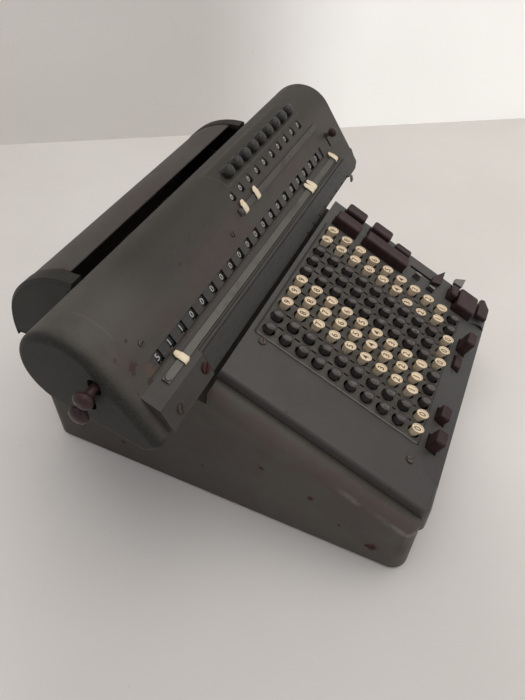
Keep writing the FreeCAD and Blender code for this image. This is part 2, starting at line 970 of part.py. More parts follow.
def number_wheels(first, count, register):
    """Ten-sided number wheels that turn on one shaft."""
    row, depth, width = wheel_rows()[register]
    y, z = face_point(row, -depth)
    bore_width = corner_width(bore_sides, wheel_shaft + 2 * running_clearance)
    wheels = []
    for x in row_places(first, count):
        start = Vector(x - wheel_length / 2, y, z)
        wheel = polygon_prism(wheel_sides, width, wheel_length, start, Vector(1, 0, 0))
        bore = polygon_prism(bore_sides, bore_width, wheel_length, start, Vector(1, 0, 0))
        wheels.append(wheel.cut(bore))
    return wheels


def end_plates():
    """Left face of the left end plate and right face of the right one."""
    return carriage_left() + frame_inset, carriage_right() - frame_inset


def wheel_shafts():
    """The two fixed shafts of the number wheels, held between the end plates."""
    left, right = end_plates()
    start = left + frame_sheet
    shafts = []
    for row, depth, width in wheel_rows():
        y, z = face_point(row, -depth)
        shafts.append(rod(wheel_shaft, start, right - frame_sheet, y, z))
    return shafts


def carriage_frame():
    """Base plate with end plates, a grooved shoe on the front rail and two arms on the rear rail."""
    left, right = end_plates()
    plate = on_underside(block(left, right, -underside_front + 14, -2, hood_wall, hood_wall + frame_sheet))
    shoe_middle = -underside_front + front_rail_back
    shoe = on_underside(block(left + 4, right - 4, shoe_middle - shoe_width / 2, shoe_middle + shoe_width / 2,
                              -bed_clearance + shoe_lift, hood_wall))
    y, z = front_rail_place()
    groove = rod(front_rail + 2 * groove_clearance, left, right, y, z)
    below = on_underside(block(left, right, shoe_middle - front_rail / 2 - groove_clearance,
                               shoe_middle + front_rail / 2 + groove_clearance,
                               -bed_clearance, -bed_clearance + front_rail / 2 - rail_sunk))
    frame = plate.fuse(shoe.cut([groove, below]))
    ends = [end_plate(x) for x in (left, right - frame_sheet)]
    frame = frame.fuse(ends)
    frame = frame.fuse([carriage_arm(x) for x in (arm_left, arm_right)])
    eye_bore = corner_width(eye_sides, rear_rail + 2 * running_clearance)
    eyes = [polygon_prism(eye_sides, eye_bore, arm_right - arm_left + 4 * arm_width,
                          Vector(arm_left - 2 * arm_width, rear_rail_y, rear_rail_z), Vector(1, 0, 0))]
    return frame.cut(eyes).removeSplitter()


def end_plate(x):
    """Upright plate that carries one end of both wheel shafts."""
    low_front = underside_point(-underside_front + 12, hood_wall)
    low_back = underside_point(-6, hood_wall)
    depth = wheel_depth(wheel_width) + wheel_shaft
    lower = face_point(-6, -depth)
    upper = face_point(counter_row + 6, -depth)
    lower_front = face_point(-6, -hood_wall - 3.5)
    upper_front = face_point(counter_row - 2, -hood_wall - 3.5)
    return side_prism([(low_front[0], low_front[1], 0), (low_back[0], low_back[1], 0),
                       (upper[0], upper[1], 0), (upper_front[0], upper_front[1], 0),
                       (lower_front[0], lower_front[1], 0)], x, x + frame_sheet)


def carriage_arm(x):
    """Arm from the base plate out of the hood's back to an eye on the rear rail."""
    half = arm_width / 2
    top = rear_rail_z + 5.5 + arm_height
    foot_y, foot_z = underside_point(-16, hood_wall + 1)
    arm = side_prism([(foot_y, foot_z, 0),
                      (foot_y + 10, foot_z + 2.3, 0),
                      (foot_y + 10, top - arm_height, 0),
                      (rear_rail_y, top - arm_height, 0),
                      (rear_rail_y, top, 0),
                      (foot_y, top, 0)], x - half, x + half)
    eye = polygon_prism(eye_sides, eye_width, arm_width, Vector(x - half, rear_rail_y, rear_rail_z),
                        Vector(1, 0, 0))
    return arm.fuse(eye)


def casting_outline():
    """The side view of the front casting on the face, from its foot upwards."""
    return [(-casting_foot, face_proud), (-ledge_top, face_proud),
            (-ridge_drop, ridge_height), (-casting_foot, casting_foot_height)]


def casting_bar(left, right, proud):
    """A length of the casting's section, with its lower face raised by the given amount."""
    foot_low, top, ridge, foot_high = casting_outline()
    ledge = Vector(0, ridge[0] - top[0], ridge[1] - top[1]).normalize()
    lower = Vector(0, ridge[0] - foot_high[0], ridge[1] - foot_high[1]).normalize()
    normal = Vector(1, 0, 0).cross(lower)
    raised = Vector(left, *ridge) + ledge * (proud / ledge.dot(normal))
    foot = Vector(left, *foot_high) + (normal - lower) * proud
    corners = [(Vector(left, foot_low[0] - proud, foot_low[1]), 0),
               (Vector(left, *top), 0),
               (raised, 0),
               (foot, 0)]
    return outline(corners).extrude(Vector(right - left, 0, 0))


def front_casting():
    """Cast bar along the carriage foot, with a block at each end and a ledge between them."""
    left = carriage_left() + casting_left
    right = carriage_right() + casting_right
    block_left = right - right_block
    bar = casting_bar(left, right - 5, 0)
    left_block = casting_bar(left, left + band_left, band_thickness)
    right_end = casting_bar(block_left, right, band_thickness)
    foot = -casting_foot - band_thickness
    rim = plan_prism([(left, foot, 0), (right, foot, casting_end_round),
                      (right, 0, 0), (left, 0, 0)], -10, 40)
    body = bar.fuse([left_block, right_end]).common(rim)
    grooves = []
    for drop in (2.0, 4.6):
        place = ledge_point(ledge_length() - drop, 0)
        grooves.append(block(left + band_left, block_left, place[0] - 0.5, place[0] + 0.5,
                             place[1] - 0.8, place[1] + 3))
    return on_face(body.cut(grooves).removeSplitter())


def ledge_length():
    foot_low, top, ridge, foot_high = casting_outline()
    return math.hypot(ridge[0] - top[0], ridge[1] - top[1])


def ledge_angle():
    """Slope of the ledge against the face, with its way pointing back towards the windows."""
    foot_low, top, ridge, foot_high = casting_outline()
    return math.degrees(math.atan2(top[1] - ridge[1], top[0] - ridge[0]))


def ledge_point(from_top, out):
    """A point on the ledge, measured from its upper end, as (along the face, out of it)."""
    foot_low, top, ridge, foot_high = casting_outline()
    share = from_top / ledge_length()
    turn = math.radians(ledge_angle())
    return (top[0] + (ridge[0] - top[0]) * share - out * math.sin(turn),
            top[1] + (ridge[1] - top[1]) * share + out * math.cos(turn))


def on_ledge(shape):
    """Carries a shape drawn round the accumulator rail's middle onto the ledge."""
    along, out = ledge_point(rail_set_back, 0)
    return on_face(tilt(shape, ledge_angle(), along, out))


def on_counter_row(shape):
    """Carries a shape drawn round the counter rail's middle onto the face."""
    return on_face(tilt(shape, 0, counter_rail_row, face_proud))


def scale_band():
    """Thin plate on the lower face of the casting, notched along its foot."""
    left = carriage_left() + casting_left + band_left
    right = carriage_right() + casting_right - right_block
    foot_low, top, ridge, foot_high = casting_outline()
    angle = math.degrees(math.atan2(ridge[1] - foot_high[1], ridge[0] - foot_high[0]))
    length = math.hypot(ridge[1] - foot_high[1], ridge[0] - foot_high[0])
    band = block(left + 0.2, right - 0.2, 1.0, length - 1.5, 0, band_thickness)
    notches = []
    for index in range(band_notches):
        x = right - 8 - index * key_pitch
        notches.append(block(x, x + band_notch, 0, 3.6, -1, 3))
    return on_face(tilt(band.cut(notches), angle, foot_high[0], foot_high[1]))


def marker_rail(left, right):
    """Flat guide bar of the decimal markers with a stud head at its left end."""
    bar = block(left, right, -rail_width / 2, rail_width / 2, 0, rail_thickness)
    stud = turned(stud_sides, [(0, rail_width - 0.8), (1.2, rail_width - 1.4)])
    stud.translate(Vector(left + rail_width / 2, 0, rail_thickness))
    return bar.fuse(stud)


def marker():
    """A bowed pointer that straddles its rail, drawn round x = 0 with its tip to the windows."""
    hold = rail_width / 2 + marker_clearance
    foot = marker_clearance
    roof = rail_thickness + marker_clearance + 0.2
    rise = marker_height
    thick = marker_thickness
    section = [(-hold - thick, foot), (-hold, foot), (-hold, roof), (hold, roof), (hold, foot),
               (hold + thick / 2, foot), (hold + thick / 2, roof), (marker_tip, rise - thick),
               (marker_tip, rise - thick / 2), (hold, rise), (-hold / 2, rise), (-hold - thick, rise - thick)]
    return side_prism([(y, z, 0) for y, z in section], -marker_width / 2, marker_width / 2)


def marker_at(x):
    placed = marker()
    placed.translate(Vector(x, 0, 0))
    return placed


def setting_knob(x):
    """Thimble-shaped knob with a domed top on a thin stem, standing in the trough."""
    high = knob_seat() + knob_top + knob_height / 2
    low = high - knob_height
    knob = turned(knob_sides, [(knob_seat() - knob_stem_inside, knob_stem),
                               (low, knob_stem),
                               (low, knob_width - 1.2),
                               (high - knob_dome, knob_width),
                               (high, knob_width * 0.6)])
    knob.translate(Vector(x, knob_row, 0))
    return on_face(knob)


def clearing_places():
    return [(upper_clearing_y, upper_clearing_z), (lower_clearing_y, lower_clearing_z)]


def clearing_opening(y, z):
    """Oval hole in the left end round the stem of a clearing knob."""
    oval = rounded_block(-clearing_hole / 2, clearing_hole / 2,
                         -clearing_hole / 2 - clearing_slot / 2, clearing_hole / 2 + clearing_slot / 2,
                         -6, 6, clearing_hole / 2 - 0.01)
    oval.rotate(Vector(0, 0, 0), Vector(0, 1, 0), 90)
    oval.translate(Vector(carriage_left(), y, z))
    return oval


def clearing_knob_at(y, z):
    """Mushroom knob on a stem that enters the left end of the carriage."""
    knob = turned(clearing_sides, [(-clearing_inside, clearing_stem),
                                   (clearing_reach - 8, clearing_stem),
                                   (clearing_reach - 5, clearing_knob),
                                   (clearing_reach - 2, clearing_knob * 0.92),
                                   (clearing_reach, clearing_knob * 0.5)])
    knob.rotate(Vector(0, 0, 0), Vector(0, 1, 0), -90)
    knob.translate(Vector(carriage_left(), y, z))
    return knob


def shift_lever():
    """Flat lever through the slot right of the windows with a pear-shaped knob."""
    middle = shift_slot_top - 3.5
    blade = block(shift_slot_x() - 1.2, shift_slot_x() + 1.2, middle - 2, middle + 2, -8, 8)
    knob = turned(8, [(0, shift_knob * 0.5), (2.5, shift_knob), (5.5, shift_knob), (8, shift_knob * 0.5)])
    knob.translate(Vector(shift_slot_x(), middle, 7))
    return on_face(blade.fuse(knob))


def tab_lever():
    """Small slanted finger lever that hangs under the right end of the front casting."""
    top = tab_lever_top()
    low = top - tab_drop
    root = carriage_right() - tab_inset
    corners = [(root, top), (root + tab_root, top), (root + tab_slant, low + 1.5),
               (root + tab_slant - 1.5, low), (root + tab_slant - tab_root - 1.0, low)]
    face = outline([(Vector(x, tab_lever_y, z), 0) for x, z in corners])
    return face.extrude(Vector(0, tab_thickness, 0))


def tab_lever_top():
    """Height just below the casting's foot over the back of the lever."""
    foot_low, top, ridge, foot_high = casting_outline()
    y_low, z_low = face_point(foot_low[0] - band_thickness, foot_low[1])
    y_high, z_high = face_point(foot_high[0] - band_thickness, foot_high[1] + band_thickness)
    share = (tab_lever_y + tab_thickness - y_high) / (y_low - y_high)
    return z_high + (z_low - z_high) * share - marker_clearance


def screw(diameter, height):
    """A flat screw head with its slot, standing on z = 0."""
    head = turned(screw_sides, [(0, diameter), (height, diameter - 0.8)])
    slot = block(-diameter, diameter, -screw_slot / 2, screw_slot / 2, height - 0.6, height + 1)
    return head.cut(slot)


def cover_screws():
    """Two screws that hold the keyboard cover to the posts of the frame."""
    heads = []
    for x, along in cover_screw_places():
        head = screw(screw_head, screw_head_height)
        half = shank_width / 2
        shank = block(-half, half, -half, half, -screw_shank, 0)
        head = head.fuse(shank)
        head.translate(Vector(x, along, -cover_sink))
        heads.append(on_deck(head))
    return heads


def cover_screw_places():
    return [(column_x(1) - 13.2, bank_depth() - 0.8), (column_x(1) - 26.4, -5.8)]


def screw_holes():
    """Square holes for the shanks of the cover screws."""
    half = shank_width / 2 + 0.2
    return [block(x - half, x + half, along - half, along + half, -cover_sink - slot_depth, 0)
            for x, along in cover_screw_places()]


def carriage_screws():
    """Slotted screws on the casting's left block and on the hood's face."""
    left = carriage_left() + casting_left
    foot_low, top, ridge, foot_high = casting_outline()
    angle = math.degrees(math.atan2(ridge[1] - foot_high[1], ridge[0] - foot_high[0]))
    heads = []
    for x, up, size in ((left + 55.0, 9.5, big_screw_head), (left + 15.5, 6.5, screw_head)):
        head = screw(size, screw_head_height)
        head.translate(Vector(x, up, band_thickness))
        heads.append(on_face(tilt(head, angle, foot_high[0], foot_high[1])))
    for x in (accumulator_first() - 5.8, accumulator_first() + 136.0):
        head = screw(screw_head - 2, 1.0)
        head.translate(Vector(x, 17.3, face_proud))
        heads.append(on_face(head))
    return heads


def hump_section(inset, front_open):
    """The side view of the rear cover's sheet or of the room under it."""
    radius = hump_radius - inset
    base = rear_deck_height
    reach = hump_lip_reach - min(inset, hump_sheet)
    top = base + radius
    low = base - hump_skirt - (10 if front_open else 0)
    back = hump_front + radius
    turn = math.radians(45)
    arc_middle = Vector(0, hump_front + radius * math.cos(turn), base + radius * math.sin(turn))
    points = [Vector(0, hump_front, top), Vector(0, hump_front - reach, top)]
    edges = [Part.LineSegment(Vector(0, back, low), Vector(0, back, base)).toShape(),
             Part.Arc(Vector(0, back, base), arc_middle, points[0]).toShape(),
             Part.LineSegment(points[0], points[1]).toShape(),
             Part.LineSegment(points[1], Vector(0, points[1].y, low)).toShape(),
             Part.LineSegment(Vector(0, points[1].y, low), Vector(0, back, low)).toShape()]
    return Part.Face(Part.Wire(edges))


def hump_sheet_body(left, right, proud):
    """The bent sheet of the rear cover between two places, open to the front below its lip."""
    outer = hump_section(-proud, False)
    outer.translate(Vector(left, 0, 0))
    inner = hump_section(hump_sheet, True)
    inner.translate(Vector(left - 1, 0, 0))
    body = outer.extrude(Vector(right - left, 0, 0)).cut(inner.extrude(Vector(right - left + 2, 0, 0)))
    under_lip = block(left - 1, right + 1, hump_front - 20, hump_front + 20,
                      0, rear_deck_height + hump_radius - hump_lip)
    return body.cut(under_lip)


def rear_cover():
    """Bent sheet cover behind the carriage."""
    half = base_width / 2 - hump_end
    return hump_sheet_body(-half, half, 0)


def rear_cover_ends():
    """The two end caps of the rear cover, each a quarter disc with a rim."""
    caps = []
    half = base_width / 2
    for side in (-1, 1):
        outer_x = side * half
        inner_x = side * (half - hump_end + 0.1)
        left = min(outer_x, inner_x)
        right = max(outer_x, inner_x)
        outer = hump_section(-hump_end_proud, False)
        outer.translate(Vector(left, 0, 0))
        body = outer.extrude(Vector(right - left, 0, 0))
        rims = [edge for edge in body.Edges
                if edge.BoundBox.XLength < 0.01 and abs(edge.BoundBox.XMin - outer_x) < 0.01
                and edge.Curve.TypeId == "Part::GeomCircle"]
        body = body.makeChamfer(hump_end_bevel, rims)
        room = hump_section(hump_end_wall, True)
        room.translate(Vector(left - side * hump_end_wall, 0, 0))
        body = body.cut(room.extrude(Vector(right - left, 0, 0)))
        front_gap = block(-half - 5, half + 5, hump_front - 20, hump_front,
                          0, rear_deck_height + hump_radius - hump_lip)
        below = block(-half - 5, half + 5, hump_front - 20, base_back_y() + 0.5,
                      0, rear_deck_height)
        caps.append(largest_solid(body.cut([front_gap, below])))
    return caps


def mechanism_frame():
    """Two side plates and a motor bracket joined by bars, with posts for the keyboard cover."""
    half = mechanism_half()
    floor = foot_height - 1 + bottom_thickness
    gap = base_wall + mechanism_clearance
    front = base_front_y() + base_corner + 5
    slope = math.tan(math.radians(deck_angle))
    corners = base_outline()
    drop_y = corners[-2][0] - gap
    top = corners[-3][1] - gap
    shoulder = deck_point(0, -shoulder_sink - gap)
    side = [(front, floor, 0),
            (rear_rail_y + 14, floor, 0),
            (rear_rail_y + 14, rear_rail_z + 6, 0),
            (rear_rail_y - 8, rear_rail_z + 6, 0),
            (rear_rail_y - 8, top, 0),
            (drop_y, top, 0),
            (drop_y, shoulder[1] + (drop_y - shoulder[0]) * slope, 0),
            (front, shoulder[1] + (front - shoulder[0]) * slope, 0)]
    pieces = [side_prism(side, half - mechanism_sheet, half)]
    for y, z in ((front + 8, floor + 12), (rear_rail_y - 2, floor + 40)):
        pieces.append(block(-half, half, y, y + tie_bar, z, z + tie_bar))
    motor_right = motor_left() + motor_length
    reach = motor_diameter / 2
    pieces.append(block(motor_right, motor_right + mechanism_sheet, shaft_y - reach, shaft_y + reach,
                        floor, shaft_z + reach / 2))
    pieces.append(block(-half, half, shaft_y - reach, shaft_y + reach, floor, floor + tray_thickness))
    bar_top = -key_length - 2 * key_travel - mechanism_clearance
    for x, along in cover_screw_places():
        pieces.append(on_deck(block(-half, half, along - tie_bar / 2, along + tie_bar / 2,
                                    bar_top - tie_bar, bar_top)))
        pieces.append(on_deck(block(x - post_width / 2, x + post_width / 2,
                                    along - post_width / 2, along + post_width / 2,
                                    bar_top - 2, -cover_sink - cover_thickness)))
    frame = side_prism(side, -half, -half + mechanism_sheet).fuse(pieces)
    bore_width = corner_width(shaft_sides, shaft_diameter + 2 * running_clearance)
    holes = [polygon_prism(shaft_sides, bore_width, half + tie_bar - motor_right,
                           Vector(motor_right - 1, shaft_y, shaft_z), Vector(1, 0, 0))]
    holes += [on_deck(hole) for hole in screw_holes()]
    return frame.cut(holes).removeSplitter()


def drive_motor():
    """Electric motor with a ribbed case, standing on the frame's tray and flanged to its bracket."""
    flange = motor_diameter - 12
    steps = [(0, flange), (6, motor_diameter)]
    for start in (16, 34):
        steps += [(start, motor_diameter), (start, motor_diameter + 4),
                  (start + 8, motor_diameter + 4), (start + 8, motor_diameter)]
    steps += [(motor_length - 8, motor_diameter), (motor_length - 4, flange), (motor_length, flange)]
    case = along_x(turned(motor_sides, steps), motor_left(), shaft_y, shaft_z)
    cradle = block(motor_left() + 12, motor_left() + motor_length - 16, shaft_y - 18, shaft_y + 18,
                   foot_height - 1 + bottom_thickness + tray_thickness, shaft_z - 20)
    return case.fuse(cradle).removeSplitter()


def main_shaft():
    """Drive shaft with one toothed drum for each key column to the right of the motor."""
    left = motor_left() + motor_length + shaft_end_gap
    right = mechanism_half() - shaft_end_gap
    base = Vector(left, shaft_y, shaft_z)
    shaft = polygon_prism(shaft_sides, shaft_diameter, right - left, base, Vector(1, 0, 0))
    drums = []
    for column in range(1, key_columns + 1):
        x = column_x(column) - drum_length / 2
        if x > left + bracket_gap + mechanism_sheet:
            drums.append(polygon_prism(drum_sides, drum_diameter, drum_length,
                                       Vector(x, shaft_y, shaft_z), Vector(1, 0, 0)))
    return shaft.fuse(drums).removeSplitter()


def save(name, solids):
    """Writes one sub-part, a single solid or a group of separate ones."""
    if isinstance(solids, list):
        shape = Part.makeCompound(solids)
    else:
        shape = solids
    shape.exportStep("parts/" + name + ".step")


def build():
    os.makedirs("parts", exist_ok=True)
    save("base_housing", base_housing())
    save("bottom_plate", bottom_plate())
    save("rubber_feet", rubber_feet())
    save("keyboard_cover", keyboard_cover())
    save("key_plate", key_plate())
    save("cover_screws", cover_screws())
    save("rear_cover", rear_cover())
    save("rear_cover_ends", rear_cover_ends())
    save("carriage_rails", carriage_rails())
    save("mechanism_frame", mechanism_frame())
    save("drive_motor", drive_motor())
    save("main_shaft", main_shaft())
    first = 1
    for count in column_groups:
        save("digit_keys_%d_to_%d" % (first, first + count - 1), digit_keys(first, count))
        first += count
    for name, left, right, front, back, top in function_key_places():
        save(name, function_key(left, right, front, back, top))
    save("slider_lever", slider_lever())
    save("indicator_levers", indicator_levers())
    save("release_lever", release_lever())
    save("thumb_key", thumb_key())
    save("carriage_hood", carriage_hood())
    save("carriage_frame", carriage_frame())
    save("front_casting", front_casting())
    save("scale_band", scale_band())
    save("window_strip", window_strip())
    save("wheel_shafts", wheel_shafts())
    save("accumulator_wheels", number_wheels(accumulator_first(), accumulator_windows, 0))
    save("counter_wheels", number_wheels(counter_first(), counter_windows, 1))
    save("accumulator_rail", on_ledge(marker_rail(accumulator_first() - rail_before,
                                                  accumulator_last() + rail_after)))
    save("counter_rail", on_counter_row(marker_rail(counter_first() - counter_rail_before,
                                                    counter_last() + counter_rail_after)))
    save("accumulator_marker_left", on_ledge(marker_at(accumulator_first() + marker_left_place)))
    pair_middle = accumulator_first() + marker_pair_place
    step = (marker_width + pair_gap) / 2
    pair = [marker_at(pair_middle - step), marker_at(pair_middle + step)]
    save("accumulator_marker_pair", [on_ledge(each) for each in pair])
    save("accumulator_marker_right", on_ledge(marker_at(accumulator_first() + marker_right_place)))
    save("counter_marker_left", on_counter_row(marker_at(counter_first() + counter_left_place)))
    save("counter_marker_right", on_counter_row(marker_at(counter_first() + counter_right_place)))
    for index, x in enumerate(row_places(knob_first(), setting_knobs)):
        save("setting_knob_%d" % (index + 1), setting_knob(x))
    save("upper_clearing_knob", clearing_knob_at(upper_clearing_y, upper_clearing_z))
    save("lower_clearing_knob", clearing_knob_at(lower_clearing_y, lower_clearing_z))
    save("shift_lever", shift_lever())
    save("tab_lever", tab_lever())
    save("carriage_screws", carriage_screws())


build()
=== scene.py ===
import bmesh
import bpy
import numpy as np
from mathutils import Matrix, Vector


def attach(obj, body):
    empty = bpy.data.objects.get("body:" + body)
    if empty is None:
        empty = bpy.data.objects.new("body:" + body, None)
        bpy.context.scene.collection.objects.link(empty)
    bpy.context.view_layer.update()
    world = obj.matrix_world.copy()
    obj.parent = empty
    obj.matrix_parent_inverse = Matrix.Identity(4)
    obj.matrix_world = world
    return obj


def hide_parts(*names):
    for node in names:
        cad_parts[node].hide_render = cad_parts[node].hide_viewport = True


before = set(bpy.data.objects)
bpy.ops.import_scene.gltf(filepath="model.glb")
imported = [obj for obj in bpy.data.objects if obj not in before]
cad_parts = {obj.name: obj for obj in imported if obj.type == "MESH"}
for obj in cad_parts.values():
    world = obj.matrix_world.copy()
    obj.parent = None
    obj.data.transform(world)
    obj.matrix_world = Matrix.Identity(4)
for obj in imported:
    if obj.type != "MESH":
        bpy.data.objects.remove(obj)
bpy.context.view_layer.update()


# Base housing
# Sheet steel, drawn and welded into one open box under grey-green stove enamel. Hands have rubbed
# its shoulders, and its sides are chipped to rust in a few places. A painted highlight, a pale line of
# reflected light, runs near the front of each shoulder. The floor plate closes it below.

class Wire:
    """A shader socket in Python arithmetic. Each operator adds the Math node of the same name."""

    def __init__(self, finish, socket):
        self.finish = finish
        self.socket = socket

    def maths(self, operation, *values):
        return self.finish.node("ShaderNodeMath", {"operation": operation}, dict(enumerate(values)))

    def __add__(self, other):
        return self.maths("ADD", self, other)

    def __sub__(self, other):
        return self.maths("SUBTRACT", self, other)

    def __rsub__(self, other):
        return self.maths("SUBTRACT", other, self)

    def __mul__(self, other):
        return self.maths("MULTIPLY", self, other)

    def size(self):
        return self.maths("ABSOLUTE", self)

    def over(self, other):
        return self.maths("MAXIMUM", self, other)

    __radd__ = __add__
    __rmul__ = __mul__


class Finish:
    """A surface finish put together from shader nodes on the piece's own coordinates."""

    def __init__(self, name):
        self.material = bpy.data.materials.new(name)
        self.material.use_nodes = True
        self.tree = self.material.node_tree
        self.tree.nodes.clear()
        self.place = self.node("ShaderNodeTexCoord", out="Object")
        self.x, self.y, self.z = self.split(self.place)

    def node(self, kind, settings=None, values=None, out=0):
        """Adds a node, sets it, fills its sockets with values or links, and returns one output."""
        made = self.tree.nodes.new(kind)
        for key, value in (settings or {}).items():
            setattr(made, key, value)
        for key, value in (values or {}).items():
            socket = made.inputs[key]
            if isinstance(value, Wire):
                self.tree.links.new(value.socket, socket)
            elif socket.type == "RGBA":
                socket.default_value = (*value[:3], 1.0)
            else:
                socket.default_value = value
        return Wire(self, made.outputs[out])

    def split(self, vector):
        """The three parts of a vector."""
        first = self.node("ShaderNodeSeparateXYZ", {}, {0: vector})
        return [Wire(self, socket) for socket in first.socket.node.outputs]

    def mix(self, share, first, second):
        """The first colour where the share is 0 and the second where it is 1."""
        return self.node("ShaderNodeMix", {"data_type": "RGBA"}, {0: share, 6: first, 7: second}, 2)

    def rise(self, value, low, high):
        """A smooth step from 0 at low to 1 at high."""
        return self.node("ShaderNodeMapRange", {"interpolation_type": "SMOOTHSTEP"},
                         {0: value, 1: low, 2: high})

    def stripe(self, value, middle, outer, inner):
        """1 within inner of the middle, with a smooth fall to 0 at outer."""
        return self.rise((value - middle).size(), outer, inner)

    def cloud(self, size, low=0.35, high=0.65, detail=3.0, stretch=None, seed=0.0):
        """Fractal noise with patches of the size in millimetres, stepped from low to high."""
        place = self.place
        if stretch:
            place = self.node("ShaderNodeVectorMath", {"operation": "MULTIPLY"}, {0: place, 1: stretch})
        noise = self.node("ShaderNodeTexNoise", {"noise_dimensions": "4D"},
                          {"Vector": place, "W": seed, "Scale": 1000 / size, "Detail": detail,
                           "Roughness": 0.6})
        return self.rise(noise, low, high)

    def near(self, spots, seed=5.0):
        """1 inside ragged spots, each given as x, y, z and radius in millimetres."""
        ragged = self.cloud(5, 0.2, 0.8, 5.0, seed=seed)
        total = None
        for x, y, z, radius in spots:
            reach = radius / 1000
            away = self.node("ShaderNodeVectorMath", {"operation": "DISTANCE"},
                             {0: self.place, 1: (x / 1000, y / 1000, z / 1000)}, "Value")
            inside = self.rise(away + (ragged - 0.5) * (reach * 1.2), reach, reach * 0.45)
            total = inside if total is None else total.over(inside)
        return total

    def done(self, colour, roughness, metallic, height, depth, more=None, open_back=False):
        """Ends the finish: depth is the relief in millimetres, and an open back can be seen through."""
        values = {"Base Color": colour, "Roughness": roughness, "Metallic": metallic, **(more or {})}
        values["Normal"] = self.node("ShaderNodeBump", {}, {"Height": height, "Distance": depth / 1000,
                                                            "Strength": 1.0})
        shader = self.node("ShaderNodeBsdfPrincipled", {}, values)
        if open_back:
            behind = self.node("ShaderNodeNewGeometry", out="Backfacing")
            clear = self.node("ShaderNodeBsdfTransparent")
            shader = self.node("ShaderNodeMixShader", {}, {0: behind, 1: shader, 2: clear})
        output = self.tree.nodes.new("ShaderNodeOutputMaterial")
        self.tree.links.new(shader.socket, output.inputs["Surface"])
        return self.material


def shade(tone, factor):
    """A colour made lighter or darker by a factor."""
    return tuple(part * factor for part in tone)


DUST = (0.28, 0.26, 0.22)


def enamel(name, tone, brown, roughness, chips=(), rubbed=None, darkened=None):
    """Stove enamel that drifts in cloudy patches towards brown, with dust specks, chips and relief, and
    where given worn patches with a painted highlight line and a darkening.
    """
    finish = Finish(name)
    drift = finish.cloud(80, 0.35, 0.68)
    colour = finish.mix(drift, shade(tone, 1.06), brown)
    stain = finish.cloud(17, 0.5, 0.8, 6.0, seed=2.0)
    colour = finish.mix(stain * 0.5, colour, shade(brown, 0.72))
    grain = finish.cloud(1.6, 0.3, 0.75, 2.0, seed=3.0)
    colour = finish.mix(grain * 0.16, colour, shade(tone, 1.9))
    dust = finish.cloud(2.4, 0.76, 0.81, 1.0, seed=8.0)
    colour = finish.mix(dust * 0.25, colour, DUST)
    rough = roughness + drift * 0.05 + stain * 0.08 + grain * 0.05
    if rubbed is not None:
        worn, bright = rubbed(finish)
        patches = finish.cloud(22, 0.36, 0.6, 5.0, seed=4.0)
        colour = finish.mix(worn * patches * 0.8, colour, (0.080, 0.055, 0.048))
        # Painted highlight: a pale line of reflected light along the front of the rubbed band
        bright = bright * finish.cloud(9, 0.3, 0.6, 6.0, (1, 0.4, 0.4), 9.0)
        colour = finish.mix(bright, colour, (0.17, 0.155, 0.135))
        rough = rough - worn * 0.06 - bright * 0.1
    if darkened is not None:
        colour = finish.mix(darkened(finish) * 0.85, colour, (0.020, 0.011, 0.009))
    relief = finish.cloud(2.2, 0.2, 0.8, 2.0, seed=6.0) * 0.5
    if chips:
        rust = finish.near(chips)
        old = finish.mix(finish.cloud(1.5, 0.4, 0.6, 4.0, seed=7.0), (0.075, 0.022, 0.014),
                         (0.022, 0.010, 0.008))
        colour = finish.mix(rust, colour, old)
        rough = rough + rust * 0.25
        relief = relief - rust * 0.9
    return finish.done(colour, rough, 0.0, relief, 0.05, {"Specular IOR Level": 0.22})


def linked(name, data):
    """A new object in the scene."""
    piece = bpy.data.objects.new(name, data)
    bpy.context.scene.collection.objects.link(piece)
    return piece


def dressed(node, body, finish, soft, crisp=32):
    """A merged copy of a CAD node, edges sharper than crisp degrees rounded by soft millimetres."""
    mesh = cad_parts[node].data.copy()
    mesh.name = node + "_finished"
    mesh.materials.clear()
    work = bmesh.new()
    work.from_mesh(mesh)
    bmesh.ops.remove_doubles(work, verts=work.verts, dist=2e-6)
    bmesh.ops.dissolve_limit(work, angle_limit=0.01, verts=work.verts, edges=work.edges)
    work.to_mesh(mesh)
    work.free()
    if "custom_normal" in mesh.attributes:
        mesh.attributes.remove(mesh.attributes["custom_normal"])
    return placed(mesh, body, [finish], node, soft, crisp)


def placed(mesh, body, finishes, node, soft=0.0, crisp=32):
    """Gives a mesh its finishes and edges and lets it ride on a body in place of a CAD node."""
    for finish in finishes:
        mesh.materials.append(finish)
    mesh.shade_smooth()
    piece = linked(mesh.name, mesh)
    if soft:
        edges = piece.modifiers.new("soft edges", "BEVEL")
        edges.width = soft / 1000
        edges.segments = 2
        edges.limit_method = "ANGLE"
        edges.angle_limit = np.radians(crisp)
    else:
        mesh.set_sharp_from_angle(angle=np.radians(crisp))
    even = piece.modifiers.new("even shading", "WEIGHTED_NORMAL")
    even.keep_sharp = True
    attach(piece, body)
    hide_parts(node)
    return piece


# The keyboard's slope: its tilt about x in degrees, then y and z of its origin in millimetres
DECK = (25.4, -156.394, 101.103)


def out_of(finish, plane):
    """Metres out of a tilted plane: z times the cosine less y times the sine, from its origin."""
    degrees, y, z = plane
    turn = np.radians(degrees)
    return (finish.z - z / 1000) * np.cos(turn) - (finish.y - y / 1000) * np.sin(turn)


def shoulder_wear(finish):
    """Two masks: the brown worn band along both shoulders, and a painted highlight, a line of reflected
    light near their front ends.
    """
    out = out_of(finish, DECK)
    side = finish.rise(finish.x.size(), 0.134, 0.141)
    band = finish.stripe(out, -0.0275, 0.011, 0.004) * side
    line = finish.stripe(out, -0.030, 0.0035, 0.0008) * side
    return band, line * finish.rise(finish.y, -0.105, -0.135)


def back_grime(finish):
    """Rises towards the back of the base, where the enamel is made darker."""
    return finish.rise(finish.y, -0.08, 0.08) * 0.48


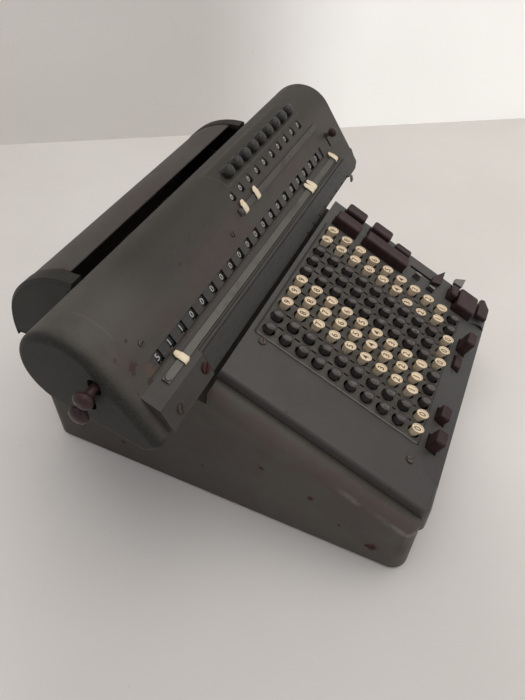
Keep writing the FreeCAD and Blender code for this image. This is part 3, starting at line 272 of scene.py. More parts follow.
# Each chip's x, y, z and radius in millimetres
base_chips = [(-147.5, -151.5, 25, 6), (-147.5, -146, 23, 4), (-147, -92, 62, 3.5), (-147.5, -120, 38, 2),
              (-147.5, -47, 78, 3), (-147.5, 10, 45, 2.2), (-147.5, 96, 30, 3), (147.5, -60, 40, 4),
              (147.5, 90, 70, 3), (-60, -181.2, 22, 3), (60, 181.8, 60, 4), (-142, -98, 78, 4)]
base_tone = (0.070, 0.064, 0.053)
base_brown = (0.066, 0.053, 0.045)
dressed("base_housing", "base",
        enamel("grey-green enamel", base_tone, base_brown, 0.46, base_chips, shoulder_wear, back_grime),
        0.7)


# Floor plate and feet
# A flat plate of oiled sheet steel, let into the base from below, and four round feet of moulded
# black rubber that are screwed to it near its corners.

def steel(name, tone, roughness, grain=(1, 1, 1), tarnish=(0.10, 0.075, 0.05)):
    """Oiled or ground steel: fine streaks along the grain, brown tarnish in patches."""
    finish = Finish(name)
    streak = finish.cloud(1.4, 0.3, 0.7, 4.0, grain, 1.0)
    stain = finish.cloud(22, 0.48, 0.75, 5.0, seed=2.0)
    colour = finish.mix(streak, shade(tone, 0.82), shade(tone, 1.12))
    colour = finish.mix(stain * 0.6, colour, tarnish)
    rough = roughness + streak * 0.08 + stain * 0.2
    return finish.done(colour, rough, 1.0 - stain * 0.5, streak, 0.012)


def rubber():
    """Aged black rubber with a grey bloom and a fine dull grain."""
    finish = Finish("black rubber")
    bloom = finish.cloud(9, 0.4, 0.75, 5.0)
    grain = finish.cloud(0.8, 0.3, 0.7)
    colour = finish.mix(bloom, (0.018, 0.017, 0.016), (0.055, 0.052, 0.048))
    return finish.done(colour, 0.78 + bloom * 0.1, 0.0, grain, 0.06)


def quads(rows, around):
    """Corner numbers of the quads between neighbouring closed rings of a grid."""
    row, step = np.meshgrid(np.arange(rows - 1), np.arange(around), indexing="ij")
    after = (step + 1) % around
    return np.stack([row * around + step, row * around + after,
                     (row + 1) * around + after, (row + 1) * around + step], -1).reshape(-1, 4)


def skin(rings):
    """Closed skin over rings (row, place round, xyz): quads between them and a face over each end."""
    rows, around = rings.shape[:2]
    ends = np.stack([np.arange(around)[::-1], np.arange(around) + (rows - 1) * around])
    return rings.reshape(-1, 3), [quads(rows, around), ends]


def solid(rings, number=0):
    """A part of a mesh: the closed skin over rings, with the number of its finish."""
    return (*skin(rings), number)


def turned(profile, around):
    """Rings of a turned shape about the third axis: x and y are radius times cosine and sine."""
    height, radius = np.array(profile, float).T
    turn = np.arange(around) * 2 * np.pi / around
    return np.stack([radius[:, None] * np.cos(turn), radius[:, None] * np.sin(turn),
                     np.repeat(height[:, None], around, 1)], -1)


def joined(name, parts):
    """One mesh in metres from parts of (points in millimetres, lists of faces, finish number)."""
    points, faces, marks, start = [], [], [], 0
    for corners, blocks, number in parts:
        points.append(np.asarray(corners, float).reshape(-1, 3))
        for block in blocks:
            faces += (np.asarray(block) + start).tolist()
            marks += [number] * len(block)
        start += len(points[-1])
    mesh = bpy.data.meshes.new(name)
    mesh.from_pydata(np.concatenate(points) / 1000, [], faces)
    mesh.polygons.foreach_set("material_index", np.array(marks, np.int32))
    mesh.update()
    return mesh


dressed("bottom_plate", "base", steel("floor plate steel", (0.30, 0.29, 0.27), 0.45), 0.3)
foot = turned([(0, 8.6), (0.5, 9.8), (1.4, 10.4), (4.6, 10.9), (5.4, 10.7), (6, 10.0)], 32)
feet = [solid(foot + (foot_x, foot_y, 0)) for foot_x in (-113.5, 113.5) for foot_y in (-147.2, 147.8)]
placed(joined("moulded_feet", feet), "base", [rubber()], "rubber_feet")


# Inner frame, motor and drive shaft
# Oiled steel plates and bars that carry the works, a round iron motor in black lacquer, and the
# drive shaft with its drums. They show only through gaps and from behind the carriage.

frame_finish = steel("oiled frame steel", (0.26, 0.255, 0.245), 0.42, (1, 6, 6))
dressed("mechanism_frame", "base", frame_finish, 0.3)
dressed("main_shaft", "main_shaft", frame_finish, 0.3)


def lacquer():
    """Black lacquer on iron: sags and pits in the coat and a film of oily dust."""
    finish = Finish("black motor lacquer")
    film = finish.cloud(12, 0.4, 0.7, 5.0)
    colour = finish.mix(film, (0.018, 0.018, 0.019), (0.045, 0.042, 0.037))
    return finish.done(colour, 0.3 + film * 0.3, 0.0, finish.cloud(3, 0.3, 0.7), 0.08)


dressed("drive_motor", "base", lacquer(), 0.8)


# Carriage rails
# Two rods of ground steel, wiped with oil, that the carriage runs on. They are held in brackets of
# the inner frame.

rod_finish = steel("ground rod steel", (0.38, 0.37, 0.35), 0.28, (0.1, 6, 6))
dressed("carriage_rails", "base", rod_finish, 0.0)


# Rear cover
# A bent sheet steel quarter round behind the carriage, and two cast end caps that hold it. The
# enamel is the base's, with a brownish bloom on top; the end caps are painted far darker as painted shade.

hump_chips = [(-140, 150, 214, 4), (-128, 112, 217, 2.5), (80, 160, 199, 2), (20, 185, 150, 3)]

# Half the sheet's length, and the centre and both radii of its bend seen from the side
sheet_half = 134
bend_y, bend_z, bend_in, bend_out = 110.9, 144.0, 72.0, 74.0


def seam(finish):
    """1 along the sheet's two ends, where dirt sits against the caps."""
    ragged = finish.x.size() + finish.cloud(12, 0.4, 0.7) * 0.002
    return finish.rise(ragged, (sheet_half - 1.8) / 1000, (sheet_half - 1) / 1000)


hump_finish = enamel("rear cover enamel", (0.062, 0.057, 0.050), (0.062, 0.049, 0.044), 0.5, hump_chips,
                     darkened=seam)
# Painted shade: the end caps carry the base's enamel, painted far darker
shaded_cap_finish = enamel("end cap enamel", (0.022, 0.021, 0.017), (0.022, 0.019, 0.016), 0.5, hump_chips)


def bent_sheet(sweep=83.6, skirt=138.2):
    """Side view of the sheet, a closed loop: its centre plus a radius at an angle, out, over the
    rounded front edge and back inside, then the foot of the skirt."""
    bend = np.linspace(0, sweep, 27)
    edge = [sweep + 0.5, sweep + 0.5]
    turn = np.radians(np.concatenate([bend, edge, bend[::-1]]))
    radius = np.repeat([bend_out, bend_out - 0.5, bend_in + 0.5, bend_in], [27, 1, 1, 27])
    arc = np.stack([bend_y + radius * np.cos(turn), bend_z + radius * np.sin(turn)], -1)
    return np.concatenate([arc, [[bend_y + bend_in, skirt], [bend_y + bend_out, skirt]]])


def drawn_out(loop, start, end, axis=0):
    """Rings of a flat outline at start and end of an axis: the outline fills the other two axes."""
    rings = np.empty((2, len(loop), 3))
    rings[..., axis] = np.array([start, end], float)[:, None]
    rings[..., [other for other in range(3) if other != axis]] = loop
    return rings


placed(joined("bent_rear_sheet", [solid(drawn_out(bent_sheet(), -sheet_half, sheet_half))]), "base",
       [hump_finish], "rear_cover")
caps = dressed("rear_cover_ends", "base", shaded_cap_finish, 0.25, 34)

# A thin web inside each cap, in metres, closes the gap over the base's round rear corner
web_size, web_x, web_y, web_z = (0.010, 0.010, 0.0015, 1), 0.1425, 0.1775, 0.1425
work = bmesh.new()
work.from_mesh(caps.data)
for side in (-1, 1):
    web_place = Matrix.Translation((side * web_x, web_y, web_z))
    bmesh.ops.create_cube(work, size=1, matrix=web_place @ Matrix.Diagonal(web_size))
work.to_mesh(caps.data)
work.free()


# Keyboard cover
# One folded sheet over the keyboard with a pressed scoop at the front and an apron, in smoother
# semi-gloss grey enamel than the base. Two slotted screws hold it to the frame posts.

cover_chips = [(-83.7, -23, 151, 1.4), (-131, -150, 92, 2), (100, -170, 84, 1.5), (-128, -60, 138, 1.5)]

# The key columns and the plate round them, in millimetres on the keyboard's slope
PITCH = 16.5
column_x = 3.75 + (np.arange(10) - 4.5) * PITCH
plate_left, plate_right = column_x[0] - 9.1, column_x[9] + 12.4
plate_middle, plate_half = 74.9, 81.9


def up_plane(finish, plane):
    """Metres up a tilted plane: y times the cosine plus z times the sine, from its origin."""
    degrees, y, z = plane
    turn = np.radians(degrees)
    return (finish.y - y / 1000) * np.cos(turn) + (finish.z - z / 1000) * np.sin(turn)


def plate_crevice(finish):
    """1 under the key plate and on a thin line all round it: painted shade in the gap at the plate's edges.
    """
    middle, outer, inner = np.array([plate_middle, plate_half + 1.9, plate_half + 1.5]) / 1000
    edge_shade = finish.stripe(up_plane(finish, DECK), middle, outer, inner)
    edge_shade = edge_shade * finish.rise(finish.x, (plate_left - 0.6) / 1000, plate_left / 1000)
    return edge_shade * finish.rise(finish.x, (plate_right + 1.2) / 1000, (plate_right + 0.6) / 1000)


def cover_enamel():
    """Semi-gloss grey enamel, painted lighter to the right as painted light falling from that side, with
    soft smears, faint hair scratches and painted shade round the key plate.
    """
    finish = Finish("semi-gloss cover enamel")
    # Painted light: the sheet grows lighter towards the right, where more light falls
    across = finish.rise(finish.x, -0.13, 0.12)
    colour = finish.mix(across, (0.052, 0.047, 0.043), (0.066, 0.062, 0.058))
    smear = finish.cloud(26, 0.4, 0.7, 5.0, seed=1.0)
    colour = finish.mix(smear * 0.4, colour, (0.047, 0.042, 0.038))
    hair = finish.cloud(7, 0.66, 0.70, 2.0, (1, 9, 9), 4.0)
    colour = finish.mix(hair * 0.18, colour, (0.16, 0.15, 0.14))
    rust = finish.near(cover_chips)
    colour = finish.mix(rust, colour, (0.03, 0.018, 0.014))
    # Painted shade: a near-black line along the gap round the key plate's edges
    colour = finish.mix(plate_crevice(finish) * 0.9, colour, (0.006, 0.005, 0.005))
    relief = finish.cloud(2.0, 0.2, 0.8, 2.0, seed=6.0) * 0.4 - rust
    return finish.done(colour, 0.38 + smear * 0.10 + hair * 0.1, 0.0, relief, 0.04,
                       {"Specular IOR Level": 0.28})


dressed("keyboard_cover", "base", cover_enamel(), 0.45, 35)


def slotted_head(radius, height, slot_half=0.5):
    """A stem and disc with two lids that leave a slot: each lid's rings go round half the head, and
    where radius times sine comes nearer to the middle than the slot's wall, y stays on the wall."""
    parts = [skin(turned([(-8, 1.4), (0, 1.4), (0, radius), (height - 0.7, radius)], 28))]
    level = np.array([height - 0.7, height - 0.3, height - 0.08, height])[:, None]
    reach = radius - np.array([0.0, 0.0, 0.25, 0.7])[:, None]
    start = np.arcsin(slot_half / radius)
    for side in (0, np.pi):
        turn = np.linspace(start, np.pi - start, 14) + side
        x, y = reach * np.cos(turn), reach * np.sin(turn)
        y = np.where(np.abs(y) < slot_half, slot_half * np.sign(np.sin(turn)), y)
        parts.append(skin(np.stack([x, y, np.broadcast_to(level, x.shape)], -1)))
    return parts


def tilted(points, plane):
    """Carries (x, along, out) of a tilted plane to the machine: along and out turn about x."""
    degrees, y, z = plane
    turn = np.radians(degrees)
    x, along, out = np.moveaxis(np.asarray(points, float), -1, 0)
    return np.stack([x, y + along * np.cos(turn) - out * np.sin(turn),
                     z + along * np.sin(turn) + out * np.cos(turn)], -1)


def screws(name, places, plane_of, finishes, body, node):
    """Slotted heads at (x, along, radius, height, turn in degrees, finish number), each turned about
    its own axis and then carried onto its plane."""
    parts = []
    for x, along, radius, height, turn, number in places:
        for points, faces in slotted_head(radius, height):
            angle = np.radians(turn)
            spun = np.stack([points[:, 0] * np.cos(angle) - points[:, 1] * np.sin(angle),
                             points[:, 0] * np.sin(angle) + points[:, 1] * np.cos(angle),
                             points[:, 2]], -1)
            parts.append((plane_of(spun + (x, along, 0)), faces, number))
    return placed(joined(name, parts), body, finishes, node)


screw_finish = steel("blued screw steel", (0.10, 0.085, 0.075), 0.45, (1, 1, 1), (0.06, 0.03, 0.025))
screws("cover_screw_heads", [(-83.7, 147.7, 3.5, 1.6, 20, 0), (-96.9, -5.8, 3.5, 1.6, -50, 0)],
       lambda points: tilted(points + (0, 0, -9), DECK), [screw_finish], "base", "cover_screws")


# Key plate
# A flat punched steel plate that lies on the cover: a round hole for every digit key and a short
# slot between each four, in matt dark enamel that has rubbed thin round the holes.

def rounded_ring(half_x, half_y, corner, steps=5):
    """A rectangle's outline with round corners: each corner's centre plus its radius round a quarter."""
    quarter = np.radians([0, 90, 180, 270])[:, None]
    turn = quarter + np.radians(np.linspace(0, 90, steps))
    middle = quarter + np.pi / 4
    x = np.sign(np.cos(middle)) * (half_x - corner) + corner * np.cos(turn)
    y = np.sign(np.sin(middle)) * (half_y - corner) + corner * np.sin(turn)
    return np.stack([x, y], -1).reshape(-1, 2)


def slab(loop, x, along, low, high, plane, number=0):
    """A part of a mesh: an outline round a place on a tilted plane, drawn out from low to high."""
    return solid(tilted(drawn_out(loop + (x, along), low, high, 2), plane), number)


def as_mesh(piece):
    """The mesh that an object shows, with its modifiers applied."""
    return bpy.data.meshes.new_from_object(piece.evaluated_get(bpy.context.evaluated_depsgraph_get()))


def carved(target, cutter):
    """Cuts one mesh's solid out of another's by an exact Boolean and returns the new mesh."""
    block, tool = linked("block", target), linked("tool", cutter)
    cut = block.modifiers.new("cut", "BOOLEAN")
    cut.operation = "DIFFERENCE"
    cut.solver = "EXACT"
    cut.object = tool
    result = as_mesh(block)
    result.name = target.name
    bpy.data.objects.remove(block)
    bpy.data.objects.remove(tool)
    return result


def plate_enamel():
    """Matt dark enamel with rubbed, slightly shiny lands and dust in the corners; its left edge is pale, a
    worn rim together with painted light standing for the lit side face.
    """
    finish = Finish("matt plate enamel")
    rub = finish.cloud(11, 0.42, 0.66, 5.0, seed=1.0)
    colour = finish.mix(rub, (0.052, 0.046, 0.038), (0.074, 0.066, 0.055))
    dust = finish.cloud(1.3, 0.62, 0.72, 2.0, seed=3.0)
    colour = finish.mix(dust * 0.3, colour, (0.12, 0.11, 0.09))
    # Painted light together with wear: the plate's left edge is made pale
    edge = finish.rise(finish.x, (plate_left + 0.6) / 1000, (plate_left + 0.2) / 1000)
    colour = finish.mix(edge * 0.8, colour, (0.26, 0.245, 0.22))
    return finish.done(colour, 0.5 - rub * 0.08, 0.0, finish.cloud(1.6, 0.2, 0.8, 2.0), 0.04,
                       {"Specular IOR Level": 0.25})


plate_loop = rounded_ring((plate_right - plate_left) / 2, plate_half, 1.5)
plate = slab(plate_loop, (plate_left + plate_right) / 2, plate_middle, -9, -7.5, DECK)
hole_loop = turned([(0, 6.1)], 20)[0, :, :2]
slot_loop = rounded_ring(0.9, 3.2, 0.85, 3)
punches = [slab(hole_loop, x, row * PITCH, -11, -6, DECK) for x in column_x for row in range(10)]
punches += [slab(slot_loop, x + PITCH / 2, (row + 0.5) * PITCH, -11, -6, DECK)
            for x in column_x[:9] for row in range(9)]
placed(carved(joined("punched_key_plate", [plate]), joined("punches", punches)), "base",
       [plate_enamel()], "key_plate")


# Digit keys
# A hundred moulded pegs, cream and near-black in blocks of columns, widening upwards to a slanted
# cupped top with a raised rim. The figure is engraved in the cup and filled with colour.

def moulding(name, tone, second, roughness, grime, gloss=0.35):
    """Moulded resin: a soft mottle of two tones, grime in patches and fine handling scratches."""
    finish = Finish(name)
    colour = finish.mix(finish.cloud(6, 0.3, 0.7, 4.0, seed=1.0), tone, second)
    dirt = finish.cloud(3.2, 0.52, 0.8, 5.0, seed=2.0)
    colour = finish.mix(dirt * 0.55, colour, grime)
    scratch = finish.cloud(2.5, 0.62, 0.68, 2.0, (1, 7, 3), 3.0)
    return finish.done(colour, roughness + dirt * 0.2 + scratch * 0.12, 0.0,
                       finish.cloud(1.2, 0.2, 0.8, 2.0, seed=4.0), 0.03, {"Specular IOR Level": gloss})


cream = moulding("cream moulding", (0.78, 0.64, 0.45), (0.70, 0.54, 0.36), 0.36, (0.40, 0.27, 0.16))
dark = moulding("near-black moulding", (0.056, 0.047, 0.045), (0.070, 0.059, 0.056), 0.46,
                (0.10, 0.085, 0.072), 0.22)
dark_ink = moulding("dark filling", (0.10, 0.062, 0.042), (0.065, 0.042, 0.030), 0.5, (0.16, 0.10, 0.07))
pale_ink = moulding("pale filling", (0.15, 0.14, 0.12), (0.10, 0.095, 0.085), 0.5, (0.06, 0.055, 0.05))


def figure(text, height, bold):
    """A figure of the built-in font as a flat mesh: (points x y, triangles), centred on 0 0. It is cut
    across in six places, so that it can bend round a drum."""
    line = bpy.data.curves.new("figure", "FONT")
    line.body = text
    line.offset = bold
    line.resolution_u = 3
    piece = linked("figure", line)
    mesh = as_mesh(piece)
    bpy.data.objects.remove(piece)
    work = bmesh.new()
    work.from_mesh(mesh)
    bmesh.ops.remove_doubles(work, verts=work.verts, dist=1e-5)
    top = max(corner.co.y for corner in work.verts)
    for share in np.linspace(0.12, 0.88, 6):
        bmesh.ops.bisect_plane(work, geom=work.verts[:] + work.edges[:] + work.faces[:],
                               plane_co=(0, top * share, 0), plane_no=(0, 1, 0))
    bmesh.ops.triangulate(work, faces=work.faces)
    work.to_mesh(mesh)
    work.free()
    points = np.empty(len(mesh.vertices) * 3)
    mesh.vertices.foreach_get("co", points)
    points = points.reshape(-1, 3)[:, :2]
    low, high = points.min(0), points.max(0)
    corners = np.empty(len(mesh.polygons) * 3, np.int32)
    mesh.polygons.foreach_get("vertices", corners)
    return (points - (low + high) / 2) * (height / (high - low)[1]), corners.reshape(-1, 3)


key_figures = [figure(str(number), 6.2, 0.012) for number in range(10)]
SLANT = np.tan(np.radians(12))
key_rings = turned([(-30, 2.75), (-9, 3.95), (-4.2, 4.6), (-1.7, 5.25), (-1.2, 5.37), (-0.95, 5.25),
                    (-0.92, 4.95), (-1.1, 4.65), (-1.85, 4.2), (-2.0, 2.4)], 16)
key_rings[3:, :, 2] -= SLANT * key_rings[3:, :, 1]
key_rings[:, :, 0] *= np.interp(key_rings[:, :1, 2], [-30, -9, -3], [1.0, 0.95, 0.84])
cream_columns, held_column, held_rows, key_travel = (3, 4, 5, 9, 10), 9, (2, 3), 5.9


def digit_keys(first, last):
    """All ten keys of the columns from first to last, each with its figure a little over the cup's
    floor. The lowest row has the other colour, and the keys that are held down stand lower."""
    parts = []
    for column in range(first, last + 1):
        for row in range(10):
            pale = (column in cream_columns) != (row == 0)
            drop = key_travel if column == held_column and row in held_rows else 0.0
            place = (column_x[column - 1], row * PITCH, -drop)
            parts.append(solid(tilted(key_rings + place, DECK), 0 if pale else 1))
            points, faces = key_figures[row]
            flat = np.column_stack([points * (0.9, 1), -1.88 - SLANT * points[:, 1]])
            parts.append((tilted(flat + place, DECK), [faces], 2 if pale else 3))
    return parts


def moulded(name, parts, finishes, crisp=50):
    """A moulded piece in place of the CAD node of its name, on the body that has the same name."""
    return placed(joined(name + "_moulded", parts), name, finishes, name, 0.0, crisp)


for first, last, slot in ((1, 2, "key_dark"), (3, 5, "key_cream"), (6, 8, "key_dark"),
                          (9, 10, "key_cream")):
    moulded(f"digit_keys_{first}_to_{last}", digit_keys(first, last), [cream, dark, dark_ink, pale_ink],
            40)


# Function keys
# Solid blocks of dark red-brown phenolic with a purple sheen, softly rounded over the top and
# faintly dished, on flat steel stems through the cover.

phenolic = moulding("red-brown phenolic", (0.030, 0.014, 0.015), (0.043, 0.022, 0.022), 0.34,
                    (0.056, 0.039, 0.037), 0.2)
stem_finish = steel("stem steel", (0.30, 0.29, 0.27), 0.4)


def key_block(left, right, front, back, foot, top, corner=2.4, edge=2.0, dish=0.35):
    """A block whose rings keep their outline up to the edge, then draw in round a quarter circle."""
    half_x, half_y = (right - left) / 2, (back - front) / 2
    turn = np.radians(np.linspace(0, 78, 5))
    rows = [(foot, 0.0), (top - edge - 0.01, 0.0)]
    rows += list(zip(top - edge + edge * np.sin(turn), edge * (1 - np.cos(turn))))
    rows += [(top - 0.02 - dish * 0.35, edge + 0.5), (top - dish, min(half_x, half_y) * 0.75)]
    rings = np.empty((len(rows), 20, 3))
    for number, (height, inset) in enumerate(rows):
        inner = max(corner - inset * 0.6, 0.5)
        rings[number, :, :2] = rounded_ring(half_x - inset, half_y - inset, inner)
        rings[number, :, 2] = height
    return rings + ((left + right) / 2, (front + back) / 2, 0)


# Name, left, right, front, back and top of each key on the keyboard's slope
function_keys = [("minus_key", 95.3, 109, 125.1, 153.1, 2.0), ("divide_key", 114.3, 127, 125.9, 148.3, 2.8),
                 ("plus_bar", 95.3, 109, 66.5, 117, 2.0), ("multiply_key", 114.3, 127, 94, 116.5, 2.8),
                 ("repeat_key", 114.3, 123, 67.6, 86, 0.0), ("clear_key", 104.5, 120, 5.5, 13.5, 1.0),
                 ("total_bar", 94.6, 121.8, -17.2, 4.5, 1.5),
                 ("shift_left_key", -76.2, -61.2, -26.2, -15.2, 5.6),
                 ("shift_right_key", -44.1, -29.6, -25.9, -15.5, 0.2),
                 ("stop_key", 24, 40, -23.5, -15.5, -5.0), ("start_key", 47.5, 64, -24.8, -14.9, 8.2)]
stem_loop = rounded_ring(3.0, 1.0, 0.3, 2)
block_foot, stem_foot, stem_top = -17, -29, -16.9
for name, left, right, front, back, top in function_keys:
    block = solid(tilted(key_block(left, right, front, back, block_foot, top), DECK))
    stem = slab(stem_loop, (left + right) / 2, (front + back) / 2, stem_foot, stem_top, DECK, 1)
    moulded(name, [block, stem], [phenolic, stem_finish], 40)


# Levers beside the keys
# Small pressed levers and a low thumb key: plated steel tips through slots in the cover, and
# phenolic grips on the slider and thumb levers.

lever_finish = steel("plated lever steel", (0.20, 0.19, 0.18), 0.38)
dressed("slider_lever", "slider_lever", phenolic, 0.5)
dressed("thumb_key", "thumb_key", phenolic, 0.8)
dressed("indicator_levers", "indicator_levers", lever_finish, 0.4)
dressed("release_lever", "release_lever", lever_finish, 0.5)


# Carriage plate, end plates and arms
# Bent sheet steel, wiped with oil: a long plate, two end plates that hold the ground wheel shafts,
# and arms that run on the rails.

dressed("carriage_frame", "carriage", frame_finish, 0.3)
dressed("wheel_shafts", "carriage", rod_finish, 0.0)


# Carriage hood
# A drawn steel hood: a flat window face that runs into a big round on top and down to a sloped
# underside, with soft round rims at both ends. Window and lever openings are punched, and a
# shallow trough is pressed round the setting knobs.

# The window face: its tilt about x in degrees, then y and z of its origin in millimetres
FACE = (55.3, 25.8, 193.3)
hood_left, hood_right = -210.5, 226.5
round_y, round_z, round_radius = 72.1, 198.45, 36.3


def corner_centre(corner, before, after, radius):
    """Centre of a round that touches two edges, given by their outward directions in degrees: the
    corner less the radius times the sum of both directions over one plus their dot product."""
    one = np.array([np.cos(np.radians(before)), np.sin(np.radians(before))])
    two = np.array([np.cos(np.radians(after)), np.sin(np.radians(after))])
    return np.array(corner) - radius * (one + two) / (1 + one @ two)


def hood_loop(inset):
    """Side view (y, z) moved in by the inset, three arcs about fixed centres: a centre plus radius
    less inset times cosine and sine, for the big round, the brow and the chin."""
    face_out, slope_out, floor_out, small = 145.3, 228.9, 285, 7
    brow = corner_centre((-0.80, 156.98), face_out, slope_out, small)
    chin = corner_centre((12.92, 145.01), slope_out, floor_out, small)
    arcs = []
    for (y, z), radius, start, end, steps in (((round_y, round_z), round_radius, -75, face_out, 56),
                                              (brow, small, face_out, slope_out, 10),
                                              (chin, small, slope_out, floor_out, 8)):
        turn = np.radians(np.linspace(start, end, steps))
        reach = radius - inset
        arcs.append(np.stack([y + reach * np.cos(turn), z + reach * np.sin(turn)], -1))
    return np.concatenate(arcs)


def hood_rings(rim, wall, end_wall):
    """The loop at stations along x, drawn in at both ends round a quarter circle of the rim."""
    turn = np.radians(np.linspace(0, 90, 7)) if rim else np.array([np.pi / 2])
    insets = rim * (1 - np.sin(turn))
    places = hood_left + end_wall + rim * (1 - np.cos(turn))
    stations = list(zip(places, insets)) + list(zip(hood_left + hood_right - places, insets))[::-1]
    loops = np.stack([hood_loop(wall + inset) for x, inset in stations])
    across = np.broadcast_to(np.array([x for x, inset in stations])[:, None, None], (*loops.shape[:2], 1))
    return np.concatenate([across, loops], -1)


# Where the windows, the setting knobs, the shift lever and the clearing knobs stand
knob_x = 19.2 + np.arange(9) * PITCH
accumulator_x = -162.0 + np.arange(20) * PITCH
counter_x = 0.8 + np.arange(10) * PITCH
knob_row, counter_row = 55.8, 39.0
shift_lever_x = 185.2
clearing_knobs = {"upper_clearing_knob": (44.4, 202.0), "lower_clearing_knob": (52.5, 183.0)}

# The trough's plane touches the big round: its tilt, then y and z of the line where it touches
TROUGH = (11.34, 64.96, 234.04)
trough_middle, trough_half = (knob_x[0] + knob_x[8]) / 2, (knob_x[8] - knob_x[0]) / 2 + 12
hood_wall, trough_wide = 1.5, 8
trough_back = slab(rounded_ring(trough_half + hood_wall, trough_wide + hood_wall, 9.4), trough_middle, 0,
                   -2.4 - hood_wall, 14, TROUGH)
room = carved(joined("room", [solid(hood_rings(0, hood_wall, 5))]), joined("trough back", [trough_back]))
hood = carved(joined("carriage_hood_drawn", [solid(hood_rings(6, 0, 0))]), room)

# Cutters: the trough, the long opening, the upper windows, the knobs' stems, the lever's slot, the
# open underside, the arms' slots in the back and the oval holes in the left end
window_loop = rounded_ring(3.6, 4.3, 1.6)
stem_hole = turned([(0, 2.9)], 16)[0, :, :2]
cutters = [slab(rounded_ring(trough_half, trough_wide, 7.9), trough_middle, 0, -2.4, 12, TROUGH),
           slab(rounded_ring(172, 5.65, 0.6, 3), -8, 0, -5, 5, FACE)]
cutters += [slab(window_loop, x, counter_row, -6, 6, FACE) for x in counter_x]
cutters += [slab(stem_hole, x, knob_row, -18, -9, FACE) for x in knob_x]
cutters.append(slab(rounded_ring(1.6, 8.2, 1.5), shift_lever_x, 4.2, -6, 6, FACE))

# The underside's plane touches the big round 15 degrees on from its lowest line
sine, cosine = 0.2588, 0.9659
underside = (15, round_y + round_radius * sine, round_z - round_radius * cosine)
cutters.append(slab(rounded_ring(214.5, 33.5, 3), 8, -32.5, -4, 4, underside))
cutters += [solid(drawn_out(rounded_ring(7, 4.25, 1.5) + (arm_x, 185.75), 116, 72, 1))
            for arm_x in (-40, 24)]
cutters += [solid(drawn_out(rounded_ring(5, 7.5, 4.95) + hole, hood_left - 6, hood_left + 7))
            for hole in clearing_knobs.values()]
hood = carved(hood, joined("openings", cutters))


def hood_enamel():
    """The base's enamel, browner over the windows, with faint creases, and painted light and shade: the
    left end painted dark greenish as shade, the round near it painted lighter, a painted highlight on the
    trough's rim and along the upright crease, and painted shade in the trough.
    """
    finish = Finish("hood enamel")
    along = up_plane(finish, FACE)
    end = finish.rise(finish.x, -0.209, -0.196)
    # Painted shade: the hood's left end is painted dark greenish
    green, grey, warm = (0.014, 0.013, 0.0105), (0.060, 0.056, 0.048), (0.066, 0.049, 0.045)
    colour = finish.mix(end, green, grey)
    low = finish.rise(along, 0.045, 0.005) * end
    colour = finish.mix((low * 0.6 + 0.4) * end * finish.cloud(50, 0.36, 0.6), colour, warm)
    bloom = finish.rise(along, 0.024, 0.045) * finish.rise(along, 0.085, 0.060) * end
    colour = finish.mix(bloom * 0.75, colour, (0.026, 0.023, 0.019))
    # Painted light on the round near the hood's left end
    lighter = finish.rise(finish.x, -0.11, -0.17) * end * finish.rise(along, 0.012, 0.03)
    colour = finish.mix(lighter * 0.55, colour, (0.095, 0.085, 0.074))
    stain = finish.cloud(17, 0.48, 0.8, 6.0, seed=2.0)
    colour = finish.mix(stain * 0.45, colour, (0.042, 0.034, 0.030))
    up, middle, long, wide = 0.0555, trough_middle / 1000, trough_half / 1000, trough_wide / 1000
    # Painted highlight on the trough's rim and painted shade inside the trough
    rim_highlight = finish.stripe(along, up, wide + 0.0022, wide + 0.0012)
    rim_highlight = rim_highlight * finish.stripe(finish.x, middle, long + 0.0023, long + 0.0010)
    trough = finish.stripe(along, up, wide + 0.0006, wide - 0.0002)
    trough = trough * finish.stripe(finish.x, middle, long + 0.0007, long - 0.0005)
    colour = finish.mix(rim_highlight * 0.4, colour, (0.085, 0.077, 0.066))
    colour = finish.mix(trough * 0.7, colour, (0.022, 0.019, 0.016))
    grain = finish.cloud(1.6, 0.3, 0.75, 2.0, seed=3.0)
    colour = finish.mix(grain * 0.14, colour, (0.12, 0.11, 0.09))
    crease = finish.stripe(along, 0.0305, 0.0010, 0.0003)
    crease = crease * finish.rise(finish.x, -0.09, -0.08) * finish.rise(finish.x, 0.006, -0.002)
    # Painted highlight along the upright crease
    upright_crease_highlight = finish.stripe(finish.x, -0.1827, 0.0012, 0.0003)
    upright_crease_highlight = upright_crease_highlight * finish.rise(along, 0.030, 0.036) * finish.rise(along, 0.066, 0.058)
    colour = finish.mix(crease * 0.6, colour, (0.070, 0.040, 0.036))
    colour = finish.mix(upright_crease_highlight * 0.35, colour, (0.11, 0.10, 0.09))
    chips = [(-193, 36, 214, 4), (-186, 30, 203, 5), (-196, 24, 190, 3), (-182, 22, 187, 4.5),
             (-176, 40, 216, 2), (-95, 45, 222, 1.8), (60, 88, 231, 2), (-210.5, 60, 168, 2.5)]
    rust = finish.near(chips)
    colour = finish.mix(rust * 0.8, colour, (0.050, 0.024, 0.020))
    dust = finish.cloud(2.4, 0.76, 0.81, 1.0, seed=8.0)
    colour = finish.mix(dust * 0.25, colour, DUST)
    relief = finish.cloud(2.2, 0.2, 0.8, 2.0, seed=6.0) * 0.4 - crease - rust * 0.7
    return finish.done(colour, 0.48 + stain * 0.1 + grain * 0.05 + rust * 0.2, 0.0, relief, 0.05,
                       {"Specular IOR Level": 0.2})


placed(hood, "carriage", [hood_enamel()], "carriage_hood", 0.0, 34)


# Window strip
# A punched strip of thin steel behind the long opening, with a window for each lower wheel, in
# satin black enamel that is worn down to its brown under-coat at the left end.

